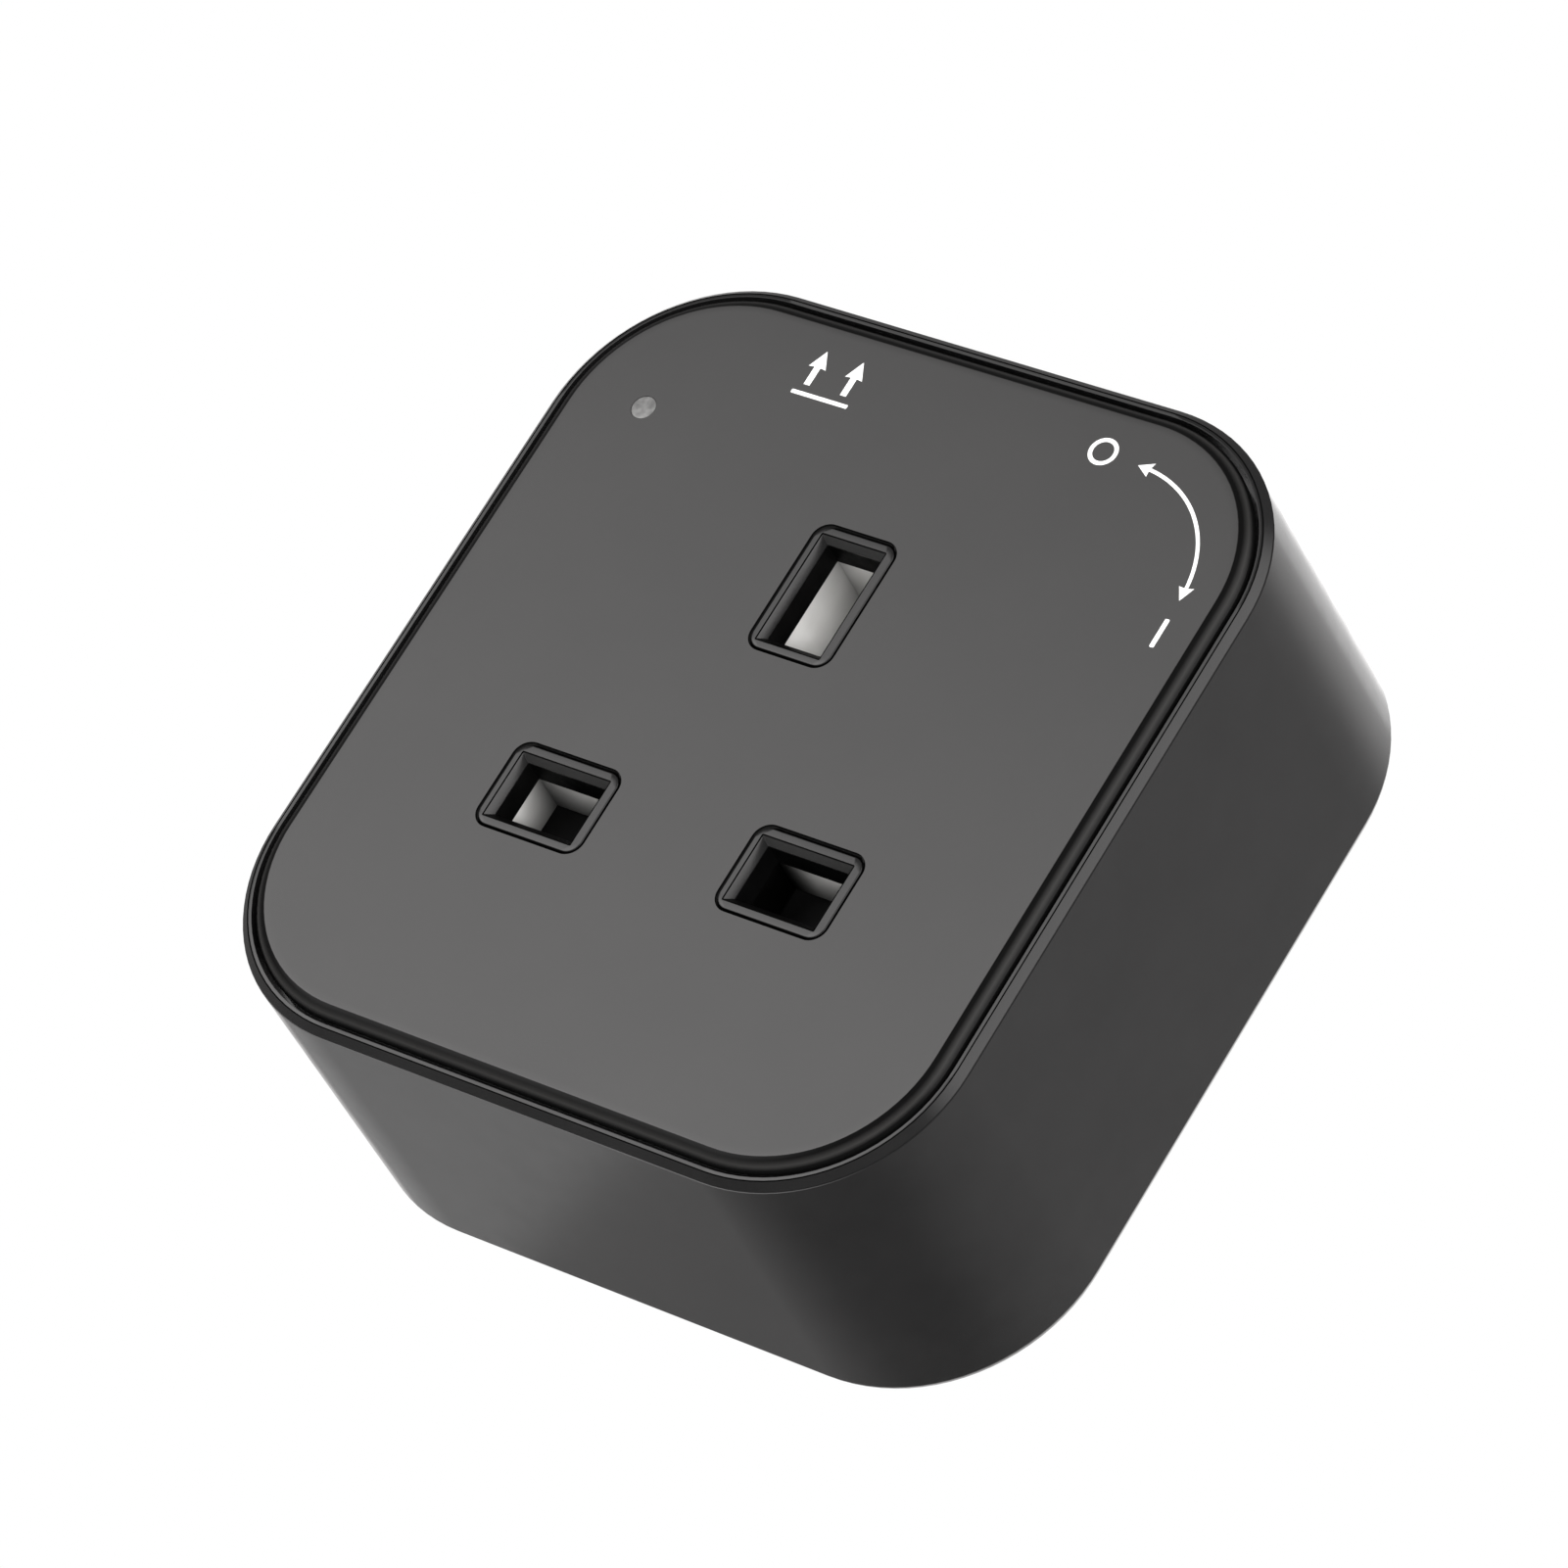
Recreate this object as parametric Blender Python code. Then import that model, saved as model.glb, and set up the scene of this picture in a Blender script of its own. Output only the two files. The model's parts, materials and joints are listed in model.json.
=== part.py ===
"""Twist-lock socket module for a power track: three pin slots in a soft square housing.

The front faces -Y and +Z is up while the module is switched off. The origin is on the twist axis, in
the plane of the track's front face. Dimensions are in millimetres; every point is written as (x, depth, z),
where depth runs from the front face towards the track.
"""

import math

import bmesh
import bpy
from mathutils import Matrix, Vector

MM = 0.001
GAP = 0.3  # between neighbouring pieces
THROUGH = 1.0  # how far a cutter runs past the face that it opens

# Housing outline: half width, half height and corner radius at the front rim, growing with the draft.
RIM_HALF_X = 31.94
RIM_HALF_Z = 34.53
RIM_RADIUS = 14.45
RIM_DEPTH = 1.34
BODY_DEPTH = 29.0
DRAFT = 0.65 / (BODY_DEPTH - RIM_DEPTH)
CORNER_STEPS = 10

# The track's front face, and what reaches through its slot.
TRACK_FACE = BODY_DEPTH + 0.4
KEY_REACH = 3.2
LOBE_START = 4.0
LOBE_END = 9.6
EARTH_TIP_REACH = 10.8

# Pin pattern of a 13 A three-pin socket, measured from the housing's centre.
PIN_ROW_Z = -11.4
PIN_X = 11.11
EARTH_Z = PIN_ROW_Z + 22.23

# Slots: half width and half height where the lead-in chamfer starts, and the collars around them.
LINE_SLOT = (4.12, 2.90)
EARTH_SLOT = (2.94, 4.90)
LINE_COLLAR = (4.58, 3.50)
EARTH_COLLAR = (3.42, 5.46)
COLLAR_RADIUS = 1.1
COLLAR_GAP = 0.24
CHAMFER = 0.45
CHAMFER_DEPTH = 0.75
CHAMFER_CORNER = 0.05

# Front plate and front cover.
PLATE_GAP_DEPTH = 0.75
PLATE_BACK = 1.3
PLATE_INSET = 1.26  # from the rim line to the plate's edge
RECESS_INSET = 0.96  # from the rim line to the wall around the plate
PLATE_ROLL = ((1.0, 0.0), (0.55, 0.08), (0.2, 0.32), (0.0, PLATE_GAP_DEPTH))
COVER_FLOOR = (1.6, 2.75)
SKIRT_INSET = 3.2
SKIRT_WALL = 1.3
SKIRT_DEPTH = 5.5
POST_ROOT = 2.2  # inside the cover's floor

# Housing shell: a bevelled rim round the plate, and a ledge for each of the two covers.
RIM_TOP = (0.75, 0.61)  # depth of the rim's flat top, and how far the bevel brings it in
SHELL_WALL = 2.6
FRONT_LEDGE = 3.05
BACK_LIP = 1.5
LEDGE_DEPTH = 26.4
BACK_ROUND = ((28.3, 0.0), (28.8, 0.2), (BODY_DEPTH, 0.6))

# Screws, bosses and where they stand.
CASE_POSTS = [(sx * 23.0, sz * 26.0) for sx in (-1, 1) for sz in (-1, 1)]
CARRIER_POSTS = [(-19.3, 0.0), (19.3, 0.0)]
HEAD_POSTS = [(-10.6, -1.4), (10.6, -1.4)]
CASE_POST_RADIUS = 2.6
POST_SHOULDER_RADIUS = 3.2
CARRIER_POST_RADIUS = 2.5
CASE_SCREW = {"shank": 1.25, "head": 2.5, "head_depth": 1.5, "length": 11.0}
CARRIER_SCREW = {"shank": 1.1, "head": 2.2, "head_depth": 1.3, "length": 8.0}
HEAD_SCREW = {"shank": 1.1, "head": 2.2, "head_depth": 1.1, "length": 6.6}
HEAD_POST_RADIUS = 2.6
RECESS_ARM = 0.55  # of the head's radius
RECESS_HALF_WIDTH = 0.3
RECESS_DEPTH = 0.8

# Indicator.
LENS_AT = (-23.3, 21.2)
LENS_RADIUS = 1.0
LENS_HOLE_RADIUS = 1.15
LENS_DEPTH = (0.02, 7.9)
LENS_COLLAR = (1.3, 3.7)  # radius and back depth of the collar that rests on the cover's floor
LED_RADIUS = 1.3
LED_DEPTH = (8.2, 9.1)  # its front, and where its foot starts

# Pin guide, shutter and its spring.
GUIDE_DEPTH = (3.0, 6.5)
GUIDE_HALF_X = 16.3
GUIDE_Z = (-16.2, 17.4)
HOOD_DEPTH = 11.0
HOOD_WALL = 1.2
SHUTTER_DEPTH = (6.8, 8.6)
SHUTTER_TRAVEL = 5.8
SHUTTER_BAR_X = 15.6
SHUTTER_BAR_Z = (-14.6, -8.3)
STEM_HALF_X = 3.6
TONGUE = (2.2, 10.2)  # half width and back depth of the tongue that the spring pushes on
RAMP_HALF_X = 2.1
RAMP_BASE_Z = 6.6
RAMP_DEPTH = (6.9, 11.4)
SPRING_DEPTH = 8.4
SPRING_RADIUS = 1.3
SPRING_WIRE = 0.18
SPRING_TURNS = 8
SPRING_Z = (-26.0, -15.5)
SPRING_STOP = (3.0, 10.4, 1.5)  # half width, back depth and thickness of the stop under the spring

# Pin contacts: inside half sizes, strip thickness, and the carrier around them.
LINE_PIN = (3.4, 2.2)
EARTH_PIN = (2.2, 4.3)
STRIP = 0.6
TAB_LENGTH = 3.6
TAB_HALF_X = 1.6
TAB_DEPTH = (2.4, 1.6)  # from the contact's back end
FOOT_LENGTH = 3.1
LINE_CONTACT_DEPTH = (9.6, 19.6)
EARTH_CONTACT_DEPTH = (12.2, 21.4)
EARTH_FOOT_DEPTH = (12.8, 14.6)
POCKET_WALL = 1.2
LINE_POCKET_DEPTH = (9.0, 21.6)
EARTH_POCKET_DEPTH = (12.0, 22.5)
TIE_DEPTH = (18.8, 20.8)
TIE_HALF_X = 16.2
TIE_Z = (-8.0, 6.0)
HUB_OPENING = (6.8, -9.0, 4.3)  # half width, low edge and high edge
EAR = (22.0, 2.7)  # half size of the ears that the carrier screws hold
TAB_WINDOW_LOW = 9.0  # below the pin row

# Twist head, its three conductors, and the seat that stays in the track.
FLANGE_DEPTH = (23.3, 24.9)
FLANGE_RADIUS = 17.0
STEM_RADIUS = 7.4
HUB_HALF_X = 6.0
HUB_Z = (-4.4, 3.95)
HUB_FRONT = 15.0
LOBE_RADIUS = 12.5
LOBE_HALF_WIDTH = 6.5
BLADE_HALF_X = 2.0
BLADE_THICK = 0.8
BLADE_OFFSET = 2.4
EARTH_BLADE_HALF_Z = 1.4
BLADE_TIP = 13.6
LINE_BLADES = ((1, 5.2), (-1, 7.2))  # the side that each leaves from, and its reach behind the track face
BLADE_FRONT = HUB_FRONT - 1.2
SEAT_BORE = 7.8
SEAT_BOSS_RADIUS = 19.0
SEAT_FLANGE_RADIUS = 21.5
SEAT_FLANGE_DEPTH = (25.2, 26.4)
COVER_BORE = 19.4
KEY_X = (13.6, 17.4)
KEY_HALF_Z = 7.2
STOP_RADIUS = 15.4
STOP_SIZE = 1.2
TWIST = 90.0
STOP_ANGLE = 45.0

# Detent leaves beside the seat, held by pegs on the rear cover.
LEAF_X = 22.45
LEAF_HALF_Z = 6.6
LEAF_THICK = 0.35
LEAF_NOSE = 0.44
LEAF_NOSE_HALF_Z = 1.3
LEAF_DEPTH = (25.3, 26.3)
NOTCH_RADIUS = 0.8
PEG_AT = (23.9, 5.2)
PEG_HALF = (0.6, 0.9)

# Control board and what stands on it.
BOARD_DEPTH = (10.0, 11.6)
BOARD_CUT = (17.2, 18.0)  # half width and top edge of its cut-out
PART_FLOOR = BOARD_DEPTH[1] + GAP
BOARD_BLOCKS = {  # finish, width, depth that it reaches, and height
    "relay": ("relay_blue", (20.6, 28.0), 24.5, (-22.8, -3.6)),
    "supply_transformer": ("film_yellow", (2.0, 15.5), 22.5, (19.4, 29.6)),
    "varistor": ("wire_blue", (-9.0, -5.2), 20.5, (20.0, 29.0)),
    "suppression_capacitor": ("film_yellow", (-28.2, -22.4), 21.5, (3.4, 16.4)),
    "radio_board": ("board_green", (-28.4, -18.2), PART_FLOOR + 0.8, (-22.6, -3.6)),
}
CAPACITOR_AT = (24.6, 7.2)
CAPACITOR_RADIUS = 4.0
CAPACITOR_BACK = 23.5
SHIELD_X = (-27.8, -18.8)
SHIELD_DEPTH = (PART_FLOOR + 0.8 + GAP, PART_FLOOR + 3.2)
SHIELD_Z = (-19.0, -4.2)

# Wires.
WIRE_RADIUS = 0.9

FINISHES = {
    "black_satin": ((0.012, 0.012, 0.013), 0.32, 0.0),
    "black_gloss": ((0.010, 0.010, 0.011), 0.16, 0.0),
    "black_plain": ((0.020, 0.020, 0.021), 0.50, 0.0),
    "pale_plastic": ((0.72, 0.71, 0.69), 0.45, 0.0),
    "clear_lens": ((0.30, 0.30, 0.30), 0.35, 0.0),
    "brass": ((0.78, 0.55, 0.22), 0.30, 1.0),
    "steel": ((0.55, 0.56, 0.58), 0.35, 1.0),
    "board_green": ((0.02, 0.16, 0.07), 0.45, 0.0),
    "relay_blue": ((0.03, 0.12, 0.42), 0.40, 0.0),
    "film_yellow": ((0.75, 0.50, 0.05), 0.45, 0.0),
    "dark_sleeve": ((0.03, 0.03, 0.04), 0.35, 0.0),
    "wire_brown": ((0.20, 0.07, 0.03), 0.45, 0.0),
    "wire_blue": ((0.03, 0.14, 0.55), 0.45, 0.0),
    "wire_green": ((0.10, 0.42, 0.10), 0.45, 0.0),
}


# ---------------------------------------------------------------------------- helpers


def clear_scene():
    for obj in list(bpy.data.objects):
        bpy.data.objects.remove(obj, do_unlink=True)


def new_collection(name):
    made = bpy.data.collections.new(name)
    bpy.context.scene.collection.children.link(made)
    return made


def at(x, depth, z):
    """A point of the design, in world metres."""
    return Vector((x * MM, (depth - TRACK_FACE) * MM, z * MM))


def behind(reach):
    """The depth of something that reaches this far behind the track's front face."""
    return TRACK_FACE + reach


def finish(obj, finish_name):
    """Gives the sub-part its own Principled material."""
    color, roughness, metallic = FINISHES[finish_name]
    made = bpy.data.materials.new(obj.name + "_" + finish_name)
    made.use_nodes = True
    shader = made.node_tree.nodes["Principled BSDF"]
    shader.inputs["Base Color"].default_value = (*color, 1.0)
    shader.inputs["Roughness"].default_value = roughness
    shader.inputs["Metallic"].default_value = metallic
    obj.data.materials.append(made)


def as_object(name, mesh_data, collection):
    obj = bpy.data.objects.new(name, mesh_data)
    collection.objects.link(obj)
    return obj


def from_bmesh(name, built, collection):
    bmesh.ops.recalc_face_normals(built, faces=built.faces)
    mesh_data = bpy.data.meshes.new(name)
    built.to_mesh(mesh_data)
    built.free()
    return as_object(name, mesh_data, collection)


def block_shape(built, x, depth, z):
    """Adds a box that spans the given (low, high) pairs."""
    low = at(x[0], depth[0], z[0])
    high = at(x[1], depth[1], z[1])
    size = Matrix.Diagonal((*(high - low), 1.0))
    bmesh.ops.create_cube(built, size=1.0, matrix=Matrix.Translation((low + high) / 2) @ size)


def disc_shape(built, x, z, depth, radius, end_radius=None, steps=24):
    """Adds a cylinder or a cone along the depth axis, from depth[0] to depth[1]."""
    last = radius if end_radius is None else end_radius
    turn = Matrix.Rotation(math.radians(-90), 4, "X")
    place = Matrix.Translation(at(x, (depth[0] + depth[1]) / 2, z))
    bmesh.ops.create_cone(
        built,
        cap_ends=True,
        segments=steps,
        radius1=radius * MM,
        radius2=last * MM,
        depth=(depth[1] - depth[0]) * MM,
        matrix=place @ turn,
    )


def outline(half_x, half_z, radius, center=(0.0, 0.0), steps=CORNER_STEPS):
    """Points of a rectangle with round corners, as (x, z)."""
    points = []
    for quarter, (side_x, side_z) in enumerate(((1, 1), (-1, 1), (-1, -1), (1, -1))):
        corner_x = center[0] + side_x * (half_x - radius)
        corner_z = center[1] + side_z * (half_z - radius)
        for step in range(steps + 1):
            angle = math.radians(90 * (quarter + step / steps))
            points.append((corner_x + radius * math.cos(angle), corner_z + radius * math.sin(angle)))
    return points


def housing_outline(depth, inset):
    """The drafted outside of the housing at a depth, moved inwards by an inset."""
    grow = DRAFT * (depth - RIM_DEPTH) - inset
    return outline(RIM_HALF_X + grow, RIM_HALF_Z + grow, RIM_RADIUS + grow)


def skin_shape(built, rings):
    """Adds a closed body through rings of (depth, outline points), all with as many points."""
    rows = [[built.verts.new(at(x, depth, z)) for x, z in points] for depth, points in rings]
    for near, far in zip(rows, rows[1:]):
        for i in range(len(near)):
            k = (i + 1) % len(near)
            built.faces.new((near[i], near[k], far[k], far[i]))
    built.faces.new(rows[0])
    built.faces.new(rows[-1])


class Kit:
    """Makes named sub-parts and the hidden tools that cut or extend them."""

    def __init__(self):
        self.parts = new_collection("track_socket_module")
        self.tools = new_collection("cutters")

    def part(self, name, finish_name, *shapes):
        obj = self.build(name, self.parts, shapes)
        finish(obj, finish_name)
        return obj

    def build(self, name, collection, shapes):
        built = bmesh.new()
        for shape in shapes:
            shape(built)
        return from_bmesh(name, built, collection)

    def tool(self, target, operation, shapes):
        tool = self.build(target.name + "_tool", self.tools, shapes)
        tool.hide_render = True
        tool.display_type = "WIRE"
        change = target.modifiers.new(operation.lower(), "BOOLEAN")
        change.operation = operation
        change.solver = "EXACT"
        change.object = tool

    def cut(self, target, *shapes):
        self.tool(target, "DIFFERENCE", shapes)

    def add(self, target, *shapes):
        """Joins shapes to the target, one tool each, because they may meet each other."""
        for shape in shapes:
            self.tool(target, "UNION", [shape])


def block(x, depth, z):
    return lambda built: block_shape(built, x, depth, z)


def disc(x, z, depth, radius, end_radius=None, steps=24):
    return lambda built: disc_shape(built, x, z, depth, radius, end_radius, steps)


def skin(*rings):
    return lambda built: skin_shape(built, rings)


def around(center, half):
    """The (low, high) pair of a length centred on a place."""
    return (center - half, center + half)


def slab(points, depth):
    """A flat plate with one outline, from depth[0] to depth[1]."""
    return skin((depth[0], points), (depth[1], points))


def slot_places():
    """Centre, slot half size and collar half size of the three pin slots."""
    return [
        ((-PIN_X, PIN_ROW_Z), LINE_SLOT, LINE_COLLAR),
        ((PIN_X, PIN_ROW_Z), LINE_SLOT, LINE_COLLAR),
        ((0.0, EARTH_Z), EARTH_SLOT, EARTH_COLLAR),
    ]


# ---------------------------------------------------------------------------- front


def front_plate(kit):
    """The flat front, with rolled edges, openings round the collars, and the lens hole."""
    rings = [(depth, housing_outline(RIM_DEPTH, PLATE_INSET + inset)) for inset, depth in PLATE_ROLL]
    rings.append((PLATE_BACK, housing_outline(RIM_DEPTH, PLATE_INSET)))
    plate = kit.part("front_plate", "black_gloss", skin(*rings))
    cut_depth = (-THROUGH, PLATE_BACK + THROUGH)
    holes = []
    for center, _, collar in slot_places():
        grown = [half + COLLAR_GAP for half in collar]
        holes.append(slab(outline(*grown, COLLAR_RADIUS + COLLAR_GAP, center, 4), cut_depth))
    holes.append(disc(*LENS_AT, cut_depth, LENS_HOLE_RADIUS))
    kit.cut(plate, *holes)


def pin_slot(center, slot):
    """The straight slot and its lead-in chamfer."""
    inner = [half - CHAMFER for half in slot]
    grown = [half + CHAMFER for half in slot]
    deep = CHAMFER_DEPTH
    straight = block(around(center[0], inner[0]), (0.5 * deep, GUIDE_DEPTH[0]), around(center[1], inner[1]))
    corners = [outline(*size, CHAMFER_CORNER, center, 1) for size in (grown, inner)]
    return straight, skin((-deep, corners[0]), (deep, corners[1]))


def front_cover(kit):
    """Floor, flush collars, skirt and screw posts in one moulding, under the front plate."""
    edge = housing_outline(RIM_DEPTH, PLATE_INSET)
    skirt = housing_outline(RIM_DEPTH, SKIRT_INSET)
    cover = kit.part(
        "front_cover",
        "black_satin",
        skin((COVER_FLOOR[0], edge), (COVER_FLOOR[1], edge), (COVER_FLOOR[1], skirt), (SKIRT_DEPTH, skirt)),
    )
    hollow = housing_outline(RIM_DEPTH, SKIRT_INSET + SKIRT_WALL)
    kit.cut(cover, slab(hollow, (COVER_FLOOR[1], SKIRT_DEPTH + THROUGH)))
    for center, slot, collar in slot_places():
        kit.add(cover, slab(outline(*collar, COLLAR_RADIUS, center, 4), (0.0, COVER_FLOOR[1] - 0.4)))
        for shape in pin_slot(center, slot):
            kit.cut(cover, shape)
    kit.cut(cover, disc(*LENS_AT, (0.5, COVER_FLOOR[1] + THROUGH), LENS_HOLE_RADIUS))
    for x, z in CASE_POSTS:
        kit.add(cover, disc(x, z, (POST_ROOT, BOARD_DEPTH[0] - GAP), POST_SHOULDER_RADIUS))
        kit.add(cover, disc(x, z, (COVER_FLOOR[1] + 0.45, LEDGE_DEPTH), CASE_POST_RADIUS))
    for x, z in CARRIER_POSTS:
        kit.add(cover, disc(x, z, (POST_ROOT, TIE_DEPTH[0] - GAP), CARRIER_POST_RADIUS))
    half_x, back, thick = SPRING_STOP
    kit.add(cover, block(around(0, half_x), (POST_ROOT, back), (SPRING_Z[0] - thick, SPRING_Z[0] - GAP)))
    kit.cut(cover, *[screw_hole(x, z, LEDGE_DEPTH, CASE_SCREW) for x, z in CASE_POSTS])
    kit.cut(cover, *[screw_hole(x, z, TIE_DEPTH[0], CARRIER_SCREW) for x, z in CARRIER_POSTS])


def screw_hole(x, z, mouth, screw):
    """The hole in a post for a screw that enters at the mouth."""
    return disc(x, z, (mouth - screw["length"], mouth + THROUGH), screw["shank"] + GAP, steps=16)


def light_guide(kit):
    """Clear rod from the front face back to the indicator LED."""
    x, z = LENS_AT
    guide = kit.part("light_guide", "clear_lens", disc(x, z, LENS_DEPTH, LENS_RADIUS, steps=20))
    radius, back = LENS_COLLAR
    kit.add(guide, disc(x, z, (COVER_FLOOR[1] + GAP, back), radius, steps=20))


# ---------------------------------------------------------------------------- pin guide and shutter


def pin_guide(kit):
    """Pale moulding that lines the slots, with a three-sided hood behind the earth slot."""
    guide = kit.part(
        "pin_guide", "pale_plastic", block(around(0, GUIDE_HALF_X), GUIDE_DEPTH, GUIDE_Z)
    )
    inner_x, inner_z = [half - CHAMFER for half in EARTH_SLOT]
    low, high = EARTH_Z - inner_z, EARTH_Z + inner_z
    hood_depth = (GUIDE_DEPTH[1] - 0.5, HOOD_DEPTH)
    kit.add(guide, block(around(0, inner_x + HOOD_WALL), hood_depth, (low, high + HOOD_WALL)))
    kit.cut(guide, block(around(0, inner_x), (GUIDE_DEPTH[1], HOOD_DEPTH + THROUGH), (low - THROUGH, high)))
    slots = []
    for center, slot, _ in slot_places():
        half_x, half_z = [half - CHAMFER for half in slot]
        through = (GUIDE_DEPTH[0] - THROUGH, GUIDE_DEPTH[1] + 0.5)
        slots.append(block(around(center[0], half_x), through, around(center[1], half_z)))
    kit.cut(guide, *slots)


def ramp_shape(built):
    """The wedge that the earth pin pushes down: a prism in the depth and height plane."""
    front, back = RAMP_DEPTH
    low = RAMP_BASE_Z - 1.0
    corners = [(front, low), (front, RAMP_BASE_Z), (back, RAMP_BASE_Z + SHUTTER_TRAVEL), (back, low)]
    sides = [[built.verts.new(at(x, d, z)) for d, z in corners] for x in (-RAMP_HALF_X, RAMP_HALF_X)]
    built.faces.new(sides[0])
    built.faces.new(sides[1])
    for i in range(len(corners)):
        k = (i + 1) % len(corners)
        built.faces.new((sides[0][i], sides[0][k], sides[1][k], sides[1][i]))


def shutter(kit):
    """Bar behind the line slots, a stem, and the ramp behind the earth slot."""
    bar = kit.part(
        "shutter", "black_plain", block(around(0, SHUTTER_BAR_X), SHUTTER_DEPTH, SHUTTER_BAR_Z)
    )
    stem_depth = (SHUTTER_DEPTH[0] + 0.1, SHUTTER_DEPTH[1] - 0.1)
    kit.add(bar, block(around(0, STEM_HALF_X), stem_depth, (SHUTTER_BAR_Z[1] - 1.0, RAMP_BASE_Z - 0.6)))
    kit.add(bar, ramp_shape)
    half_x, back = TONGUE
    kit.add(bar, block(around(0, half_x), (stem_depth[0], back), (SPRING_Z[1] + GAP, SHUTTER_BAR_Z[0] + 1.0)))


def shutter_spring(kit):
    """Coil that pushes the shutter back up."""
    steps_per_turn = 12
    count = SPRING_TURNS * steps_per_turn
    low, high = SPRING_Z[0] + SPRING_WIRE, SPRING_Z[1] - SPRING_WIRE
    points = []
    for i in range(count + 1):
        angle = 2 * math.pi * i / steps_per_turn
        rise = low + (high - low) * i / count
        points.append((SPRING_RADIUS * math.cos(angle), SPRING_DEPTH + SPRING_RADIUS * math.sin(angle), rise))
    tube(kit, "shutter_spring", "steel", points, SPRING_WIRE, resolution=0)


def tube(kit, name, finish_name, points, radius, resolution=1):
    """A round wire through points of (x, depth, z)."""
    curve = bpy.data.curves.new(name, "CURVE")
    curve.dimensions = "3D"
    curve.bevel_depth = radius * MM
    curve.bevel_resolution = resolution
    curve.use_fill_caps = True
    spline = curve.splines.new("POLY")
    spline.points.add(len(points) - 1)
    for point, place in zip(spline.points, points):
        point.co = (*at(*place), 1.0)
    finish(as_object(name, curve, kit.parts), finish_name)


# ---------------------------------------------------------------------------- contacts and carrier


def line_contact(kit, name, side):
    """Folded strip that grips a line pin from above and below, with a tab towards the wires."""
    x = side * PIN_X
    half_x, half_z = LINE_PIN
    web = (x + side * half_x, x + side * (half_x + STRIP))
    span = tuple(sorted((x - side * half_x, web[1])))
    contact = kit.part(
        name, "brass", block(span, LINE_CONTACT_DEPTH, around(PIN_ROW_Z, half_z + STRIP))
    )
    opened = tuple(sorted((x - side * (half_x + THROUGH), web[0])))
    front, back = LINE_CONTACT_DEPTH
    kit.cut(contact, block(opened, (front - THROUGH, back + THROUGH), around(PIN_ROW_Z, half_z)))
    tab_z = (PIN_ROW_Z - half_z - STRIP - TAB_LENGTH, PIN_ROW_Z - half_z - 0.2)
    kit.add(contact, block(around(x, TAB_HALF_X), [back - before for before in TAB_DEPTH], tab_z))


def earth_contact(kit):
    """Folded strip that grips the earth pin from both sides, with a tab towards the hub."""
    half_x, half_z = EARTH_PIN
    front, back = EARTH_CONTACT_DEPTH
    contact = kit.part(
        "earth_contact",
        "brass",
        block(around(0, half_x + STRIP), EARTH_CONTACT_DEPTH, (EARTH_Z - half_z, EARTH_Z + half_z + STRIP)),
    )
    opened = (EARTH_Z - half_z - THROUGH, EARTH_Z + half_z)
    kit.cut(contact, block(around(0, half_x), (front - THROUGH, back + THROUGH), opened))
    foot_x = (-half_x - STRIP + 0.1, -half_x - 0.1)
    end = EARTH_Z - half_z
    kit.add(contact, block(foot_x, EARTH_FOOT_DEPTH, (end - FOOT_LENGTH, end + 0.5)))


def pocket(center, half, depth, extra):
    """A box round a contact, larger than it by extra on every side."""
    size = [length + STRIP + GAP + extra for length in half]
    return block(around(center[0], size[0]), depth, around(center[1], size[1]))


def contact_carrier(kit):
    """Insulating block with a pocket for each pin contact, screwed to the front cover."""
    tie_x = around(0, TIE_HALF_X)
    carrier = kit.part("contact_carrier", "black_plain", block(tie_x, TIE_DEPTH, TIE_Z))
    earth = (0.0, EARTH_Z)
    lines = [(side * PIN_X, PIN_ROW_Z) for side in (-1, 1)]
    kit.add(carrier, pocket(earth, EARTH_PIN, EARTH_POCKET_DEPTH, POCKET_WALL))
    for center in lines:
        kit.add(carrier, pocket(center, LINE_PIN, LINE_POCKET_DEPTH, POCKET_WALL))
    ear_depth = (TIE_DEPTH[0] + 0.1, TIE_DEPTH[1] - 0.1)
    kit.add(carrier, block(around(0, EAR[0]), ear_depth, around(0, EAR[1])))
    half_x, low, high = HUB_OPENING
    kit.cut(carrier, block(around(0, half_x), (TIE_DEPTH[0] - THROUGH, TIE_DEPTH[1] + THROUGH), (low, high)))
    front = LINE_POCKET_DEPTH[0] - THROUGH
    kit.cut(carrier, pocket(earth, EARTH_PIN, (EARTH_POCKET_DEPTH[0] - THROUGH, 24.0), 0.0))
    for center in lines:
        kit.cut(carrier, pocket(center, LINE_PIN, (front, LINE_POCKET_DEPTH[1] - POCKET_WALL), 0.0))
    back = LINE_CONTACT_DEPTH[1]
    window_depth = (back - TAB_DEPTH[0] - GAP, back - TAB_DEPTH[1] + GAP)
    window_z = (PIN_ROW_Z - TAB_WINDOW_LOW, PIN_ROW_Z - 2.0)
    kit.cut(carrier, *[block(around(x, TAB_HALF_X + GAP), window_depth, window_z) for x, _ in lines])
    front, back = EARTH_FOOT_DEPTH
    kit.cut(carrier, block((-3.3, -1.7), (front - 2.0, back + GAP), (3.0, EARTH_Z - 4.0)))
    hole_depth = (TIE_DEPTH[0] - THROUGH, TIE_DEPTH[1] + THROUGH)
    places = CARRIER_POSTS + HEAD_POSTS
    kit.cut(carrier, *[disc(x, z, hole_depth, HEAD_SCREW["shank"] + GAP, steps=16) for x, z in places])


# ---------------------------------------------------------------------------- case


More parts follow.
